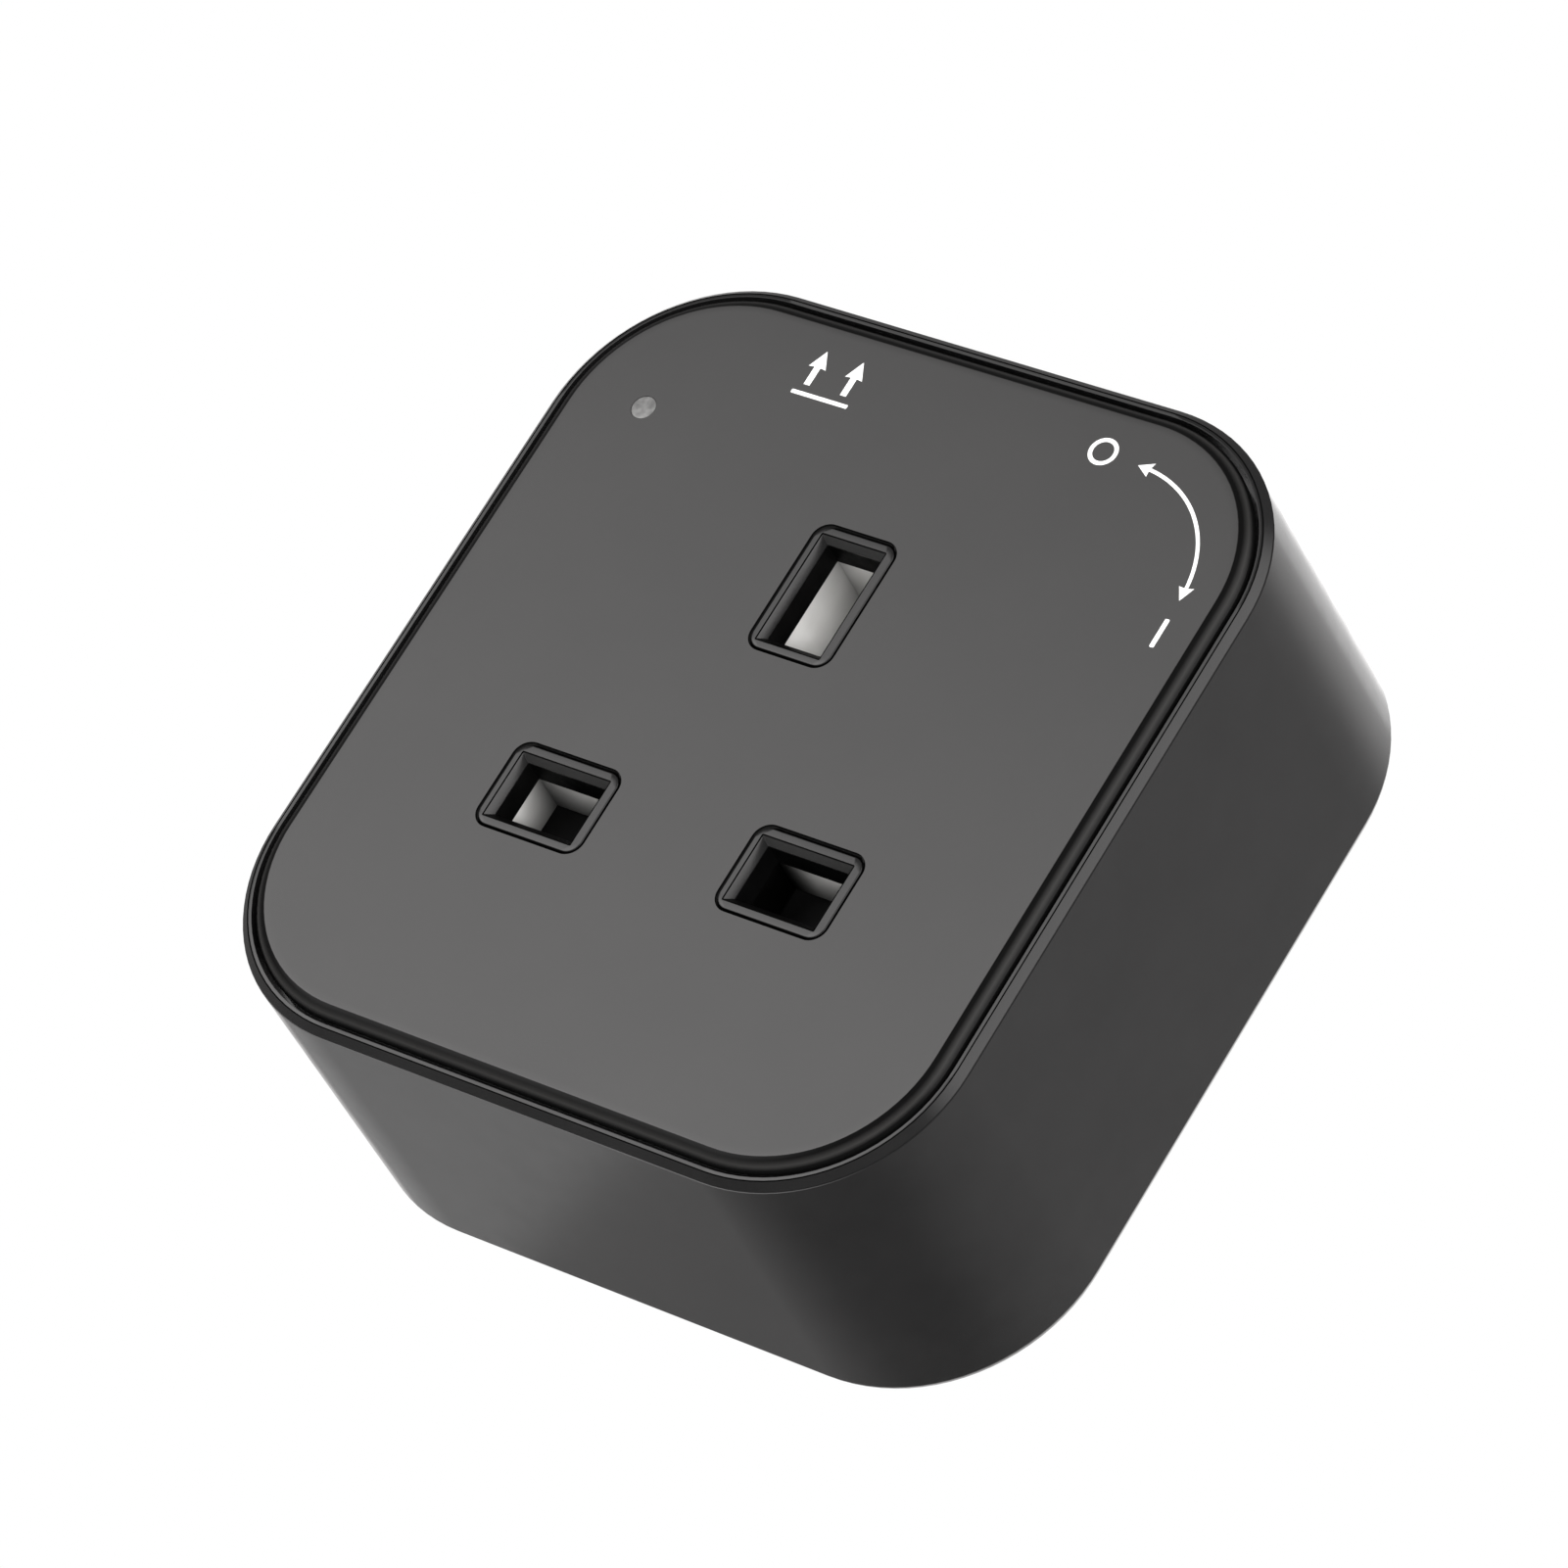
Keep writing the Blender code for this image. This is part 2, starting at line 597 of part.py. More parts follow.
def housing_shell(kit):
    """Drafted side walls with a bevelled rim, open at both ends, with a ledge for each cover."""
    top_depth, top_inset = RIM_TOP
    rings = [(top_depth, housing_outline(RIM_DEPTH, top_inset)), (RIM_DEPTH, housing_outline(RIM_DEPTH, 0.0))]
    rings += [(depth, housing_outline(depth, inset)) for depth, inset in BACK_ROUND]
    shell = kit.part("housing_shell", "black_satin", skin(*rings))
    ends = (-THROUGH, BODY_DEPTH + THROUGH)
    inside = [(depth, housing_outline(depth, SHELL_WALL)) for depth in ends]
    kit.cut(shell, skin(*inside))
    kit.cut(shell, slab(housing_outline(RIM_DEPTH, RECESS_INSET), (ends[0], FRONT_LEDGE)))
    kit.cut(shell, slab(housing_outline(BODY_DEPTH, BACK_LIP), (LEDGE_DEPTH, ends[1])))


def rear_cover(kit):
    """Back plate with the round opening that the track seat turns in."""
    depth = (LEDGE_DEPTH + GAP, BODY_DEPTH)
    edge = housing_outline(BODY_DEPTH, BACK_LIP + GAP)
    cover = kit.part("rear_cover", "black_satin", slab(edge, depth))
    through = (depth[0] - THROUGH, depth[1] + THROUGH)
    kit.cut(cover, disc(0, 0, through, COVER_BORE, steps=64))
    holes = [disc(x, z, through, CASE_SCREW["shank"] + GAP, steps=16) for x, z in CASE_POSTS]
    kit.cut(cover, *holes)
    head = CASE_SCREW["head"] + GAP
    start = BODY_DEPTH - CASE_SCREW["head_depth"] - GAP
    sink = (start, BODY_DEPTH + 0.01)
    kit.cut(cover, *[disc(x, z, sink, CASE_SCREW["shank"], head, steps=20) for x, z in CASE_POSTS])
    peg_depth = (LEAF_DEPTH[0] - 0.1, depth[0] + 0.5)
    for side_x in (-1, 1):
        for side_z in (-1, 1):
            x = around(side_x * PEG_AT[0], PEG_HALF[0])
            kit.add(cover, block(x, peg_depth, around(side_z * PEG_AT[1], PEG_HALF[1])))


def screw(kit, name, x, z, head_face, size):
    """Countersunk screw with a cross recess; its head faces the back."""
    face = head_face
    neck = face - size["head_depth"]
    made = kit.part(name, "steel", disc(x, z, (neck, face), size["shank"], size["head"], steps=20))
    kit.add(made, disc(x, z, (face - size["length"], neck + 0.3), size["shank"], steps=16))
    arm = size["head"] * RECESS_ARM
    for half_x, half_z in ((arm, RECESS_HALF_WIDTH), (RECESS_HALF_WIDTH, arm)):
        kit.cut(made, block(around(x, half_x), (face - RECESS_DEPTH, face + THROUGH), around(z, half_z)))


def screws(kit):
    for i, (x, z) in enumerate(CASE_POSTS):
        screw(kit, f"case_screw_{i + 1}", x, z, BODY_DEPTH - 0.1, CASE_SCREW)
    for i, (x, z) in enumerate(CARRIER_POSTS):
        face = TIE_DEPTH[1] + GAP + CARRIER_SCREW["head_depth"]
        screw(kit, f"carrier_screw_{i + 1}", x, z, face, CARRIER_SCREW)
    for i, (x, z) in enumerate(HEAD_POSTS):
        screw(kit, f"head_screw_{i + 1}", x, z, FLANGE_DEPTH[1] - 0.05, HEAD_SCREW)


# ---------------------------------------------------------------------------- twist head and seat


def sector(radius, depth, start, span):
    """A pie slice round the twist axis, for the stop's slot."""
    steps = 16
    arc = [math.radians(start + span * i / steps) for i in range(steps + 1)]
    outer = [(radius[1] * math.cos(a), radius[1] * math.sin(a)) for a in arc]
    inner = [(radius[0] * math.cos(a), radius[0] * math.sin(a)) for a in reversed(arc)]
    return slab(outer + inner, depth)


def blade_slot(side, reach):
    """The slot in the head for one line blade, wider than it by the gap."""
    low, high = BLADE_OFFSET - GAP, BLADE_OFFSET + BLADE_THICK + GAP
    down = tuple(sorted((side * low, side * high)))
    out = tuple(sorted((side * low, side * (BLADE_TIP + THROUGH))))
    width = around(0, BLADE_HALF_X + GAP)
    shaft = block(width, (HUB_FRONT - THROUGH, behind(reach + BLADE_THICK + GAP)), down)
    return shaft, block(width, (behind(reach - GAP), behind(reach + BLADE_THICK + GAP)), out)


def twist_head(kit):
    """Hub, flange, stem and the lobe bar that locks behind the lips of the track's slot."""
    head = kit.part("twist_head", "black_plain", disc(0, 0, FLANGE_DEPTH, FLANGE_RADIUS, steps=64))
    kit.add(head, block(around(0, HUB_HALF_X), (HUB_FRONT, FLANGE_DEPTH[0] + 0.5), HUB_Z))
    kit.add(head, disc(0, 0, (FLANGE_DEPTH[1] - 0.5, behind(LOBE_START + 0.5)), STEM_RADIUS, steps=48))
    kit.add(head, lobe_shape)
    for x, z in HEAD_POSTS:
        kit.add(head, disc(x, z, (TIE_DEPTH[1] + GAP, FLANGE_DEPTH[0] + 0.5), HEAD_POST_RADIUS, steps=20))
    for side, reach in LINE_BLADES:
        for shape in blade_slot(side, reach):
            kit.cut(head, shape)
    earth = (HUB_FRONT - THROUGH, behind(LOBE_END + THROUGH))
    kit.cut(head, block(around(0, BLADE_THICK / 2 + GAP), earth, around(0, EARTH_BLADE_HALF_Z + GAP)))
    size = HEAD_SCREW["head"] + GAP
    start = FLANGE_DEPTH[1] - HEAD_SCREW["head_depth"] - GAP
    for x, z in HEAD_POSTS:
        kit.cut(head, disc(x, z, (start, FLANGE_DEPTH[1] + 0.01), HEAD_SCREW["shank"], size, steps=20))
        kit.cut(head, disc(x, z, (TIE_DEPTH[1], start + 0.5), HEAD_SCREW["shank"] + GAP, steps=16))
    margin = math.degrees((STOP_SIZE + GAP) / STOP_RADIUS)
    reach = (STOP_RADIUS - STOP_SIZE - GAP, FLANGE_RADIUS + THROUGH)
    through = (FLANGE_DEPTH[0] - THROUGH, FLANGE_DEPTH[1] + THROUGH)
    kit.cut(head, sector(reach, through, STOP_ANGLE - TWIST - margin, TWIST + 2 * margin))


def lobe_shape(built):
    """A round-ended bar: the outline of a disc cut off straight on both sides."""
    limit = math.degrees(math.asin(LOBE_HALF_WIDTH / LOBE_RADIUS))
    steps = 10
    points = []
    for middle in (90, 270):
        for i in range(steps + 1):
            angle = math.radians(middle - limit + 2 * limit * i / steps)
            points.append((LOBE_RADIUS * math.cos(angle), LOBE_RADIUS * math.sin(angle)))
    rings = [(behind(depth), points) for depth in (LOBE_START, LOBE_END)]
    skin_shape(built, rings)


def line_blade(kit, name, side, reach):
    """Strip that runs back through the stem and turns out through the end of a lobe."""
    down = tuple(sorted((side * BLADE_OFFSET, side * (BLADE_OFFSET + BLADE_THICK))))
    out = tuple(sorted((side * BLADE_OFFSET, side * BLADE_TIP)))
    width = around(0, BLADE_HALF_X)
    end = behind(reach + BLADE_THICK)
    blade = kit.part(name, "brass", block(width, (BLADE_FRONT, end), down))
    kit.add(blade, block(width, (behind(reach), end), out))


def earth_blade(kit):
    """Middle strip that ends in a tip beyond the lobes."""
    depth = (BLADE_FRONT, behind(EARTH_TIP_REACH))
    kit.part("earth_blade", "brass", block(around(0, BLADE_THICK / 2), depth, around(0, EARTH_BLADE_HALF_Z)))


def track_seat(kit):
    """Disc that stays in the track: its two keys fill the slot and the housing turns round it."""
    seat = kit.part("track_seat", "black_plain", disc(0, 0, SEAT_FLANGE_DEPTH, SEAT_FLANGE_RADIUS, steps=64))
    kit.add(seat, disc(0, 0, (SEAT_FLANGE_DEPTH[1] - 0.5, TRACK_FACE), SEAT_BOSS_RADIUS, steps=64))
    for side in (-1, 1):
        x = tuple(sorted((side * KEY_X[0], side * KEY_X[1])))
        kit.add(seat, block(x, (TRACK_FACE - 0.5, behind(KEY_REACH)), around(0, KEY_HALF_Z)))
    kit.cut(seat, disc(0, 0, (SEAT_FLANGE_DEPTH[0] - THROUGH, behind(THROUGH)), SEAT_BORE, steps=48))
    stop = math.radians(STOP_ANGLE)
    place = (STOP_RADIUS * math.cos(stop), STOP_RADIUS * math.sin(stop))
    stop_depth = (FLANGE_DEPTH[0] + 0.2, SEAT_FLANGE_DEPTH[0] + 0.5)
    kit.add(seat, disc(*place, stop_depth, STOP_SIZE, steps=16))
    notch_depth = (SEAT_FLANGE_DEPTH[0] - THROUGH, SEAT_FLANGE_DEPTH[1] - 0.01)
    notches = []
    for quarter in range(4):
        angle = math.radians(90 * quarter)
        x, z = SEAT_FLANGE_RADIUS * math.cos(angle), SEAT_FLANGE_RADIUS * math.sin(angle)
        notches.append(disc(x, z, notch_depth, NOTCH_RADIUS, steps=16))
    kit.cut(seat, *notches)


def detent_spring(kit, name, side):
    """Leaf whose nose clicks into the notches of the seat."""
    steps = 12
    rail = []
    for i in range(steps + 1):
        z = LEAF_HALF_Z * (2 * i / steps - 1)
        nose = LEAF_NOSE * math.exp(-((z / LEAF_NOSE_HALF_Z) ** 2))
        rail.append((side * (LEAF_X - nose), z))
    outer = [(x + side * LEAF_THICK, z) for x, z in reversed(rail)]
    kit.part(name, "steel", slab(rail + outer, LEAF_DEPTH))


# ---------------------------------------------------------------------------- electronics


def control_board(kit):
    """Horseshoe board round the contact carrier, notched for the posts."""
    edge = housing_outline(BOARD_DEPTH[0], SHELL_WALL + GAP)
    board = kit.part("control_board", "board_green", slab(edge, BOARD_DEPTH))
    half_x, top = BOARD_CUT
    through = (BOARD_DEPTH[0] - THROUGH, BOARD_DEPTH[1] + THROUGH)
    kit.cut(board, block(around(0, half_x), through, (-RIM_HALF_Z - THROUGH, top)))
    kit.cut(board, *[disc(x, z, through, CASE_POST_RADIUS + GAP) for x, z in CASE_POSTS])
    kit.cut(board, *[disc(x, z, through, CARRIER_POST_RADIUS + GAP) for x, z in CARRIER_POSTS])


def board_parts(kit):
    """Relay, supply, suppression and radio, each standing just clear of the board."""
    for name, (finish_name, x, back, z) in BOARD_BLOCKS.items():
        kit.part(name, finish_name, block(x, (PART_FLOOR, back), z))
    capacitor = disc(*CAPACITOR_AT, (PART_FLOOR, CAPACITOR_BACK), CAPACITOR_RADIUS)
    kit.part("smoothing_capacitor", "dark_sleeve", capacitor)
    kit.part("radio_shield", "steel", block(SHIELD_X, SHIELD_DEPTH, SHIELD_Z))
    front, foot = LED_DEPTH
    back = BOARD_DEPTH[0] - GAP
    led = kit.part("indicator_led", "clear_lens", disc(*LENS_AT, (front, back), LED_RADIUS - 0.4, steps=20))
    kit.add(led, disc(*LENS_AT, (foot, back), LED_RADIUS, steps=20))


def bend(points, steps=4):
    """A smooth run through the given points (Catmull-Rom), for a wire."""
    ends = [points[0], *points, points[-1]]
    run = []
    for a, b, c, d in zip(ends, ends[1:], ends[2:], ends[3:]):
        for i in range(steps):
            t = i / steps
            run.append(tuple(spline_value(p, t) for p in zip(a, b, c, d)))
    return run + [points[-1]]


def spline_value(p, t):
    a, b, c, d = p
    return b + 0.5 * t * (c - a + t * (2 * a - 5 * b + 4 * c - d + t * (3 * (b - c) + d - a)))


def wires(kit):
    """Insulated leads between the hub, the relay and the pin contacts."""
    tab_z = PIN_ROW_Z - LINE_PIN[1] - STRIP - TAB_LENGTH - GAP - WIRE_RADIUS
    tab_depth = LINE_CONTACT_DEPTH[1] - 2.0
    hub = BLADE_FRONT - GAP - WIRE_RADIUS
    tube(kit, "neutral_wire", "wire_blue", bend([
        (-0.6, hub, -2.8), (-1.6, hub, -7.4), (-3.0, hub + 0.6, -13.0), (-4.6, hub + 2.8, -17.6),
        (-7.6, tab_depth, tab_z), (-PIN_X, tab_depth, tab_z),
    ]), WIRE_RADIUS)
    tube(kit, "live_wire_in", "wire_brown", bend([
        (1.2, hub, 2.8), (3.4, hub, 1.4), (4.3, hub, -4.0), (3.4, hub, -12.0), (4.6, hub + 0.4, -19.0),
        (9.6, hub + 1.4, -23.4), (14.4, hub + 2.6, -23.0), (17.6, hub + 3.4, -21.0), (19.9, hub + 3.4, -20.2),
    ]), WIRE_RADIUS)
    tube(kit, "live_wire_out", "wire_brown", bend([
        (PIN_X, tab_depth, tab_z), (14.6, tab_depth, tab_z + 0.2), (17.6, tab_depth, -17.4),
        (19.9, tab_depth, -16.4),
    ]), WIRE_RADIUS)
    tube(kit, "earth_wire", "wire_green", bend([
        (-0.6, hub, 0.0), (-2.2, hub, 0.6), (-3.6, hub + 0.3, 1.8), (-3.9, hub + 0.8, 3.0),
    ]), WIRE_RADIUS)


# ---------------------------------------------------------------------------- assembly


def main():
    clear_scene()
    kit = Kit()
    front_plate(kit)
    front_cover(kit)
    light_guide(kit)
    pin_guide(kit)
    shutter(kit)
    shutter_spring(kit)
    line_contact(kit, "neutral_contact", -1)
    line_contact(kit, "live_contact", 1)
    earth_contact(kit)
    contact_carrier(kit)
    housing_shell(kit)
    rear_cover(kit)
    screws(kit)
    twist_head(kit)
    line_blade(kit, "live_blade", *LINE_BLADES[0])
    line_blade(kit, "neutral_blade", *LINE_BLADES[1])
    earth_blade(kit)
    track_seat(kit)
    detent_spring(kit, "detent_spring_1", -1)
    detent_spring(kit, "detent_spring_2", 1)
    control_board(kit)
    board_parts(kit)
    wires(kit)


main()
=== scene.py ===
"""Looks of the twist-lock three-pin socket module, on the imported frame.

Lengths are in millimetres and points are (x, depth, z), where depth runs from the front face
towards the track. The front faces -Y, and +Z is the way that the printed arrows point.
"""

import json
import math

import bmesh
import bpy
from mathutils import Matrix, Vector


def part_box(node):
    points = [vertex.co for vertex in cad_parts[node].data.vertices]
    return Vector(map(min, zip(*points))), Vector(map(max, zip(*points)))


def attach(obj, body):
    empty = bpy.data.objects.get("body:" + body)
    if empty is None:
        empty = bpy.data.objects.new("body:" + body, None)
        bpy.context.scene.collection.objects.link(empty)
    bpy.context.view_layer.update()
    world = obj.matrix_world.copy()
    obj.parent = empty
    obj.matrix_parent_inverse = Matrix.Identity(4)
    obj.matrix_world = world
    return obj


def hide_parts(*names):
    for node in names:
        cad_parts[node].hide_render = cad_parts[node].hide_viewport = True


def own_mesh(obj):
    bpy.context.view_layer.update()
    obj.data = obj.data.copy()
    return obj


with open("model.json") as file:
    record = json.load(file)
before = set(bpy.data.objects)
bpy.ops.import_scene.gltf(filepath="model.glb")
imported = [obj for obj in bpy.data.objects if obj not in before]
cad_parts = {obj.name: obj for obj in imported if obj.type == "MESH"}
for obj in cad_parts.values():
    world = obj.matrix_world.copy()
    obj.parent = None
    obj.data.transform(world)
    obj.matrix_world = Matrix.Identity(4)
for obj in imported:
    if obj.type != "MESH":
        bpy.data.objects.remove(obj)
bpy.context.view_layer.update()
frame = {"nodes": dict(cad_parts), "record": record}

MM = 0.001
TRACK_FACE = 29.4
SLOT_OF = {row["node"]: row["material_slot"] for row in frame["record"]["subparts"]}

# The housing's outline at the rim, and how it grows with the draft.
RIM_HALF = (31.94, 34.53)
RIM_RADIUS = 14.45
RIM_DEPTH = 1.34
BODY_DEPTH = 29.0
DRAFT = 0.65 / (BODY_DEPTH - RIM_DEPTH)

# The front plate lies a little deeper than its CAD solid, so that the ink on it stays in the box.
PLATE_FACE = 0.03
INK_FACE = 0.012

# Pin slots: centre, half size where the lead-in starts, and half size of the flush collar.
LINE_SLOT = ((4.12, 2.90), (4.58, 3.50))
EARTH_SLOT = ((2.94, 4.90), (3.42, 5.46))
SLOTS = {
    "neutral": ((-11.11, -11.4), *LINE_SLOT),
    "live": ((11.11, -11.4), *LINE_SLOT),
    "earth": ((0.0, 10.83), *EARTH_SLOT),
}
LENS_AT = (-23.3, 21.2)
LENS_RADIUS = 1.0

# How three outlines differ from the half sizes above: the centre's shift and the added half size.
COLLAR_SET = ((0.12, 0.03), (0.16, 0.03))
HOLE_SET = ((0.11, 0.08), (0.39, 0.33))  # the plate's hole, from the flush collar
LIP_SET = ((0.0, 0.08), (0.0, -0.08))  # the lead-in's lower side reaches further in

# The shell's wall, and where its ledges for the two covers are.
SHELL_WALL = 2.6
FRONT_LEDGE = 3.05
BACK_LEDGE = 26.4
BACK_LIP = 1.5

# The cover's moulding, its posts, and the pale guide behind it.
COVER_FACE = 1.62
COVER_BACK = 2.75
SKIRT_BACK = 5.5
POST_ROOT = 2.3
CASE_POST_AT = (23.0, 26.0)
CARRIER_POST_X = 19.3
GUIDE_DEPTH = (3.05, 6.4)
GUIDE_HALF = (16.3, 16.8)
GUIDE_MIDDLE = (0.0, 0.6)
SLOT_INSET = 0.45  # from where the lead-in starts to the slot's straight walls
SLEEVE_FRONT = 2.9
SLEEVE_BACK = {"neutral": 6.5, "live": 6.5, "earth": 10.9}
SLEEVE_WALL = 0.5
RAMP_FRONT = 6.5  # from here on the earth sleeve is open below, for the shutter's ramp

# The coil under the shutter.
SPRING_DEPTH = 8.4
SPRING_RADIUS = 1.3
SPRING_WIRE = 0.17
SPRING_TURNS = 9
SPRING_FLAT_TURNS = 0.75  # at each end
SPRING_FOOT, SPRING_HEAD = -26.0, -15.5


# ---------------------------------------------------------------------------- geometry


def at(x, depth, z):
    """The point in metres."""
    return Vector((x * MM, (depth - TRACK_FACE) * MM, z * MM))


def outline(half_x, half_z, radius, center=(0.0, 0.0), steps=22):
    """Points of a rectangle with round corners, as (x, z)."""
    points = []
    for quarter, (side_x, side_z) in enumerate(((1, 1), (-1, 1), (-1, -1), (1, -1))):
        corner_x = center[0] + side_x * (half_x - radius)
        corner_z = center[1] + side_z * (half_z - radius)
        for step in range(steps + 1):
            angle = math.radians(90 * (quarter + step / steps))
            points.append((corner_x + radius * math.cos(angle), corner_z + radius * math.sin(angle)))
    return points


def housing_outline(depth, inset):
    """The drafted outside of the housing at a depth, moved inwards by an inset."""
    grow = DRAFT * (depth - RIM_DEPTH) - inset
    return outline(RIM_HALF[0] + grow, RIM_HALF[1] + grow, RIM_RADIUS + grow)


def rings_at(points, depths):
    """One outline at several depths, as rings of 3D points."""
    return [[at(x, depth, z) for x, z in points] for depth in depths]


def circle(center, radius, steps):
    """Points of a circle, as (x, z)."""
    points = []
    for i in range(steps):
        angle = 2 * math.pi * i / steps
        points.append((center[0] + radius * math.cos(angle), center[1] + radius * math.sin(angle)))
    return points


def grown(center, half, change):
    """A rectangle's centre and half size, moved and made larger."""
    shift, more = change
    return [a + b for a, b in zip(center, shift)], [a + b for a, b in zip(half, more)]


def less(half, inset):
    """A half size that is smaller all round."""
    return [value - inset for value in half]


def fillet(profile, radii, steps=4, closed=False):
    """A profile of 2D points with its corners rounded; a corner whose radius is 0 stays."""
    points = []
    count = len(profile)
    for i, (corner, radius) in enumerate(zip(profile, radii)):
        if radius == 0 or (not closed and i in (0, count - 1)):
            points.append(corner)
            continue
        here = Vector(corner)
        before = (Vector(profile[i - 1]) - here).normalized()
        after = (Vector(profile[(i + 1) % count]) - here).normalized()
        half = before.angle(after) / 2
        reach = radius / math.tan(half)
        center = here + (before + after).normalized() * radius / math.sin(half)
        start = (here + before * reach - center).normalized()
        end = (here + after * reach - center).normalized()
        for step in range(steps + 1):
            points.append(tuple(center + start.slerp(end, step / steps) * radius))
    return points


def mesh_object(name, built):
    """A smooth-shaded object from a finished bmesh."""
    bmesh.ops.recalc_face_normals(built, faces=built.faces)
    data = bpy.data.meshes.new(name)
    built.to_mesh(data)
    built.free()
    obj = bpy.data.objects.new(name, data)
    bpy.context.scene.collection.objects.link(obj)
    for face in data.polygons:
        face.use_smooth = True
    return obj


def loft(name, rings, closed=False):
    """A skin through rings of 3D points, capped at its ends or closed on itself."""
    built = bmesh.new()
    rows = [[built.verts.new(point) for point in ring] for ring in rings]
    pairs = list(zip(rows, rows[1:]))
    if closed:
        pairs.append((rows[-1], rows[0]))
    for near, far in pairs:
        for i in range(len(near)):
            k = (i + 1) % len(near)
            built.faces.new((near[i], near[k], far[k], far[i]))
    if not closed:
        built.faces.new(rows[0])
        built.faces.new(rows[-1])
    return mesh_object(name, built)


def turned(name, center, profile, steps=48):
    """A turned piece on a line along the depth axis, from (radius, depth) pairs."""
    rings = []
    for radius, depth in profile:
        rings += rings_at(circle(center, radius, steps), [depth])
    return loft(name, rings)


def bevel(obj, width, segments=2, angle=32):
    """Rounds the edges sharper than the angle, when the object is evaluated."""
    change = obj.modifiers.new("soft_edges", "BEVEL")
    change.width = width * MM
    change.segments = segments
    change.limit_method = "ANGLE"
    change.angle_limit = math.radians(angle)
    change.use_clamp_overlap = True


def even_normals(obj):
    """Keeps flat faces flat beside their round edges."""
    change = obj.modifiers.new("even_normals", "WEIGHTED_NORMAL")
    change.keep_sharp = True


def crisp(obj, angle=35):
    """Keeps the edges sharper than this angle from being shaded smooth."""
    obj.data.set_sharp_from_angle(angle=math.radians(angle))


def cut(obj, *tools):
    """Cuts closed tools out of an object and removes them."""
    for tool in tools:
        change = obj.modifiers.new("cut", "BOOLEAN")
        change.operation = "DIFFERENCE"
        change.solver = "EXACT"
        change.object = tool
    graph = bpy.context.evaluated_depsgraph_get()
    made = bpy.data.meshes.new_from_object(obj.evaluated_get(graph))
    obj.modifiers.clear()
    obj.data = made
    for tool in tools:
        bpy.data.objects.remove(tool, do_unlink=True)
    for face in made.polygons:
        face.use_smooth = True


# ---------------------------------------------------------------------------- materials


class Nodes:
    """Short names for building one material's nodes."""

    def __init__(self, name):
        self.material = bpy.data.materials.new(name)
        self.material.use_nodes = True
        self.tree = self.material.node_tree
        self.shader = self.tree.nodes["Principled BSDF"]
        self.place = self.tree.nodes.new("ShaderNodeTexCoord").outputs["Object"]

    def set(self, **values):
        for key, value in values.items():
            self.shader.inputs[key.replace("_", " ")].default_value = value

    def link(self, source, target):
        self.tree.links.new(source, target)

    def stretched(self, scale):
        node = self.tree.nodes.new("ShaderNodeMapping")
        node.inputs["Scale"].default_value = scale
        self.link(self.place, node.inputs["Vector"])
        return node.outputs["Vector"]

    def noise(self, per_mm, detail=3.0, place=None):
        node = self.tree.nodes.new("ShaderNodeTexNoise")
        node.inputs["Scale"].default_value = per_mm / MM
        node.inputs["Detail"].default_value = detail
        self.link(place or self.place, node.inputs["Vector"])
        return node.outputs["Fac"]

    def ranged(self, source, low, high, start=0.3, end=0.7):
        node = self.tree.nodes.new("ShaderNodeMapRange")
        node.inputs["From Min"].default_value = start
        node.inputs["From Max"].default_value = end
        node.inputs["To Min"].default_value = low
        node.inputs["To Max"].default_value = high
        self.link(source, node.inputs["Value"])
        return node.outputs["Result"]

    def mixed(self, factor, first, second):
        node = self.tree.nodes.new("ShaderNodeMix")
        node.data_type = "RGBA"
        node.inputs["A"].default_value = (*first, 1.0)
        node.inputs["B"].default_value = (*second, 1.0)
        self.link(factor, node.inputs["Factor"])
        return node.outputs["Result"]

    def color(self, factor, first, second):
        self.link(self.mixed(factor, first, second), self.shader.inputs["Base Color"])

    def roughness(self, source, low, high):
        self.link(self.ranged(source, low, high), self.shader.inputs["Roughness"])

    def bump(self, height, microns, strength=1.0):
        node = self.tree.nodes.new("ShaderNodeBump")
        node.inputs["Distance"].default_value = microns * 1e-6
        node.inputs["Strength"].default_value = strength
        self.link(height, node.inputs["Height"])
        self.link(node.outputs["Normal"], self.shader.inputs["Normal"])


def moulded(name, dark, light, rough, grain_per_mm=4.0, grain_microns=2.0):
    """Moulded plastic: a faint cloud in its colour, an uneven gloss and a fine skin."""
    made = Nodes(name)
    made.color(made.ranged(made.noise(0.12, 4.0), 0.0, 1.0), dark, light)
    made.roughness(made.noise(0.5, 5.0), *rough)
    made.bump(made.noise(grain_per_mm, 2.0), grain_microns)
    return made.material


def dull_black(name, low, high, specular):
    """Near-black plastic with a weak, rough gloss, darker than the case's black."""
    made = Nodes(name)
    made.set(Specular_IOR_Level=specular)
    cloud = made.ranged(made.noise(0.4, 4.0), 0.0, 1.0)
    made.color(cloud, (0.0015, 0.0015, 0.0015), (0.003, 0.003, 0.003))
    made.roughness(made.noise(0.9), low, high)
    made.bump(made.noise(3.0), 1.0)
    return made.material


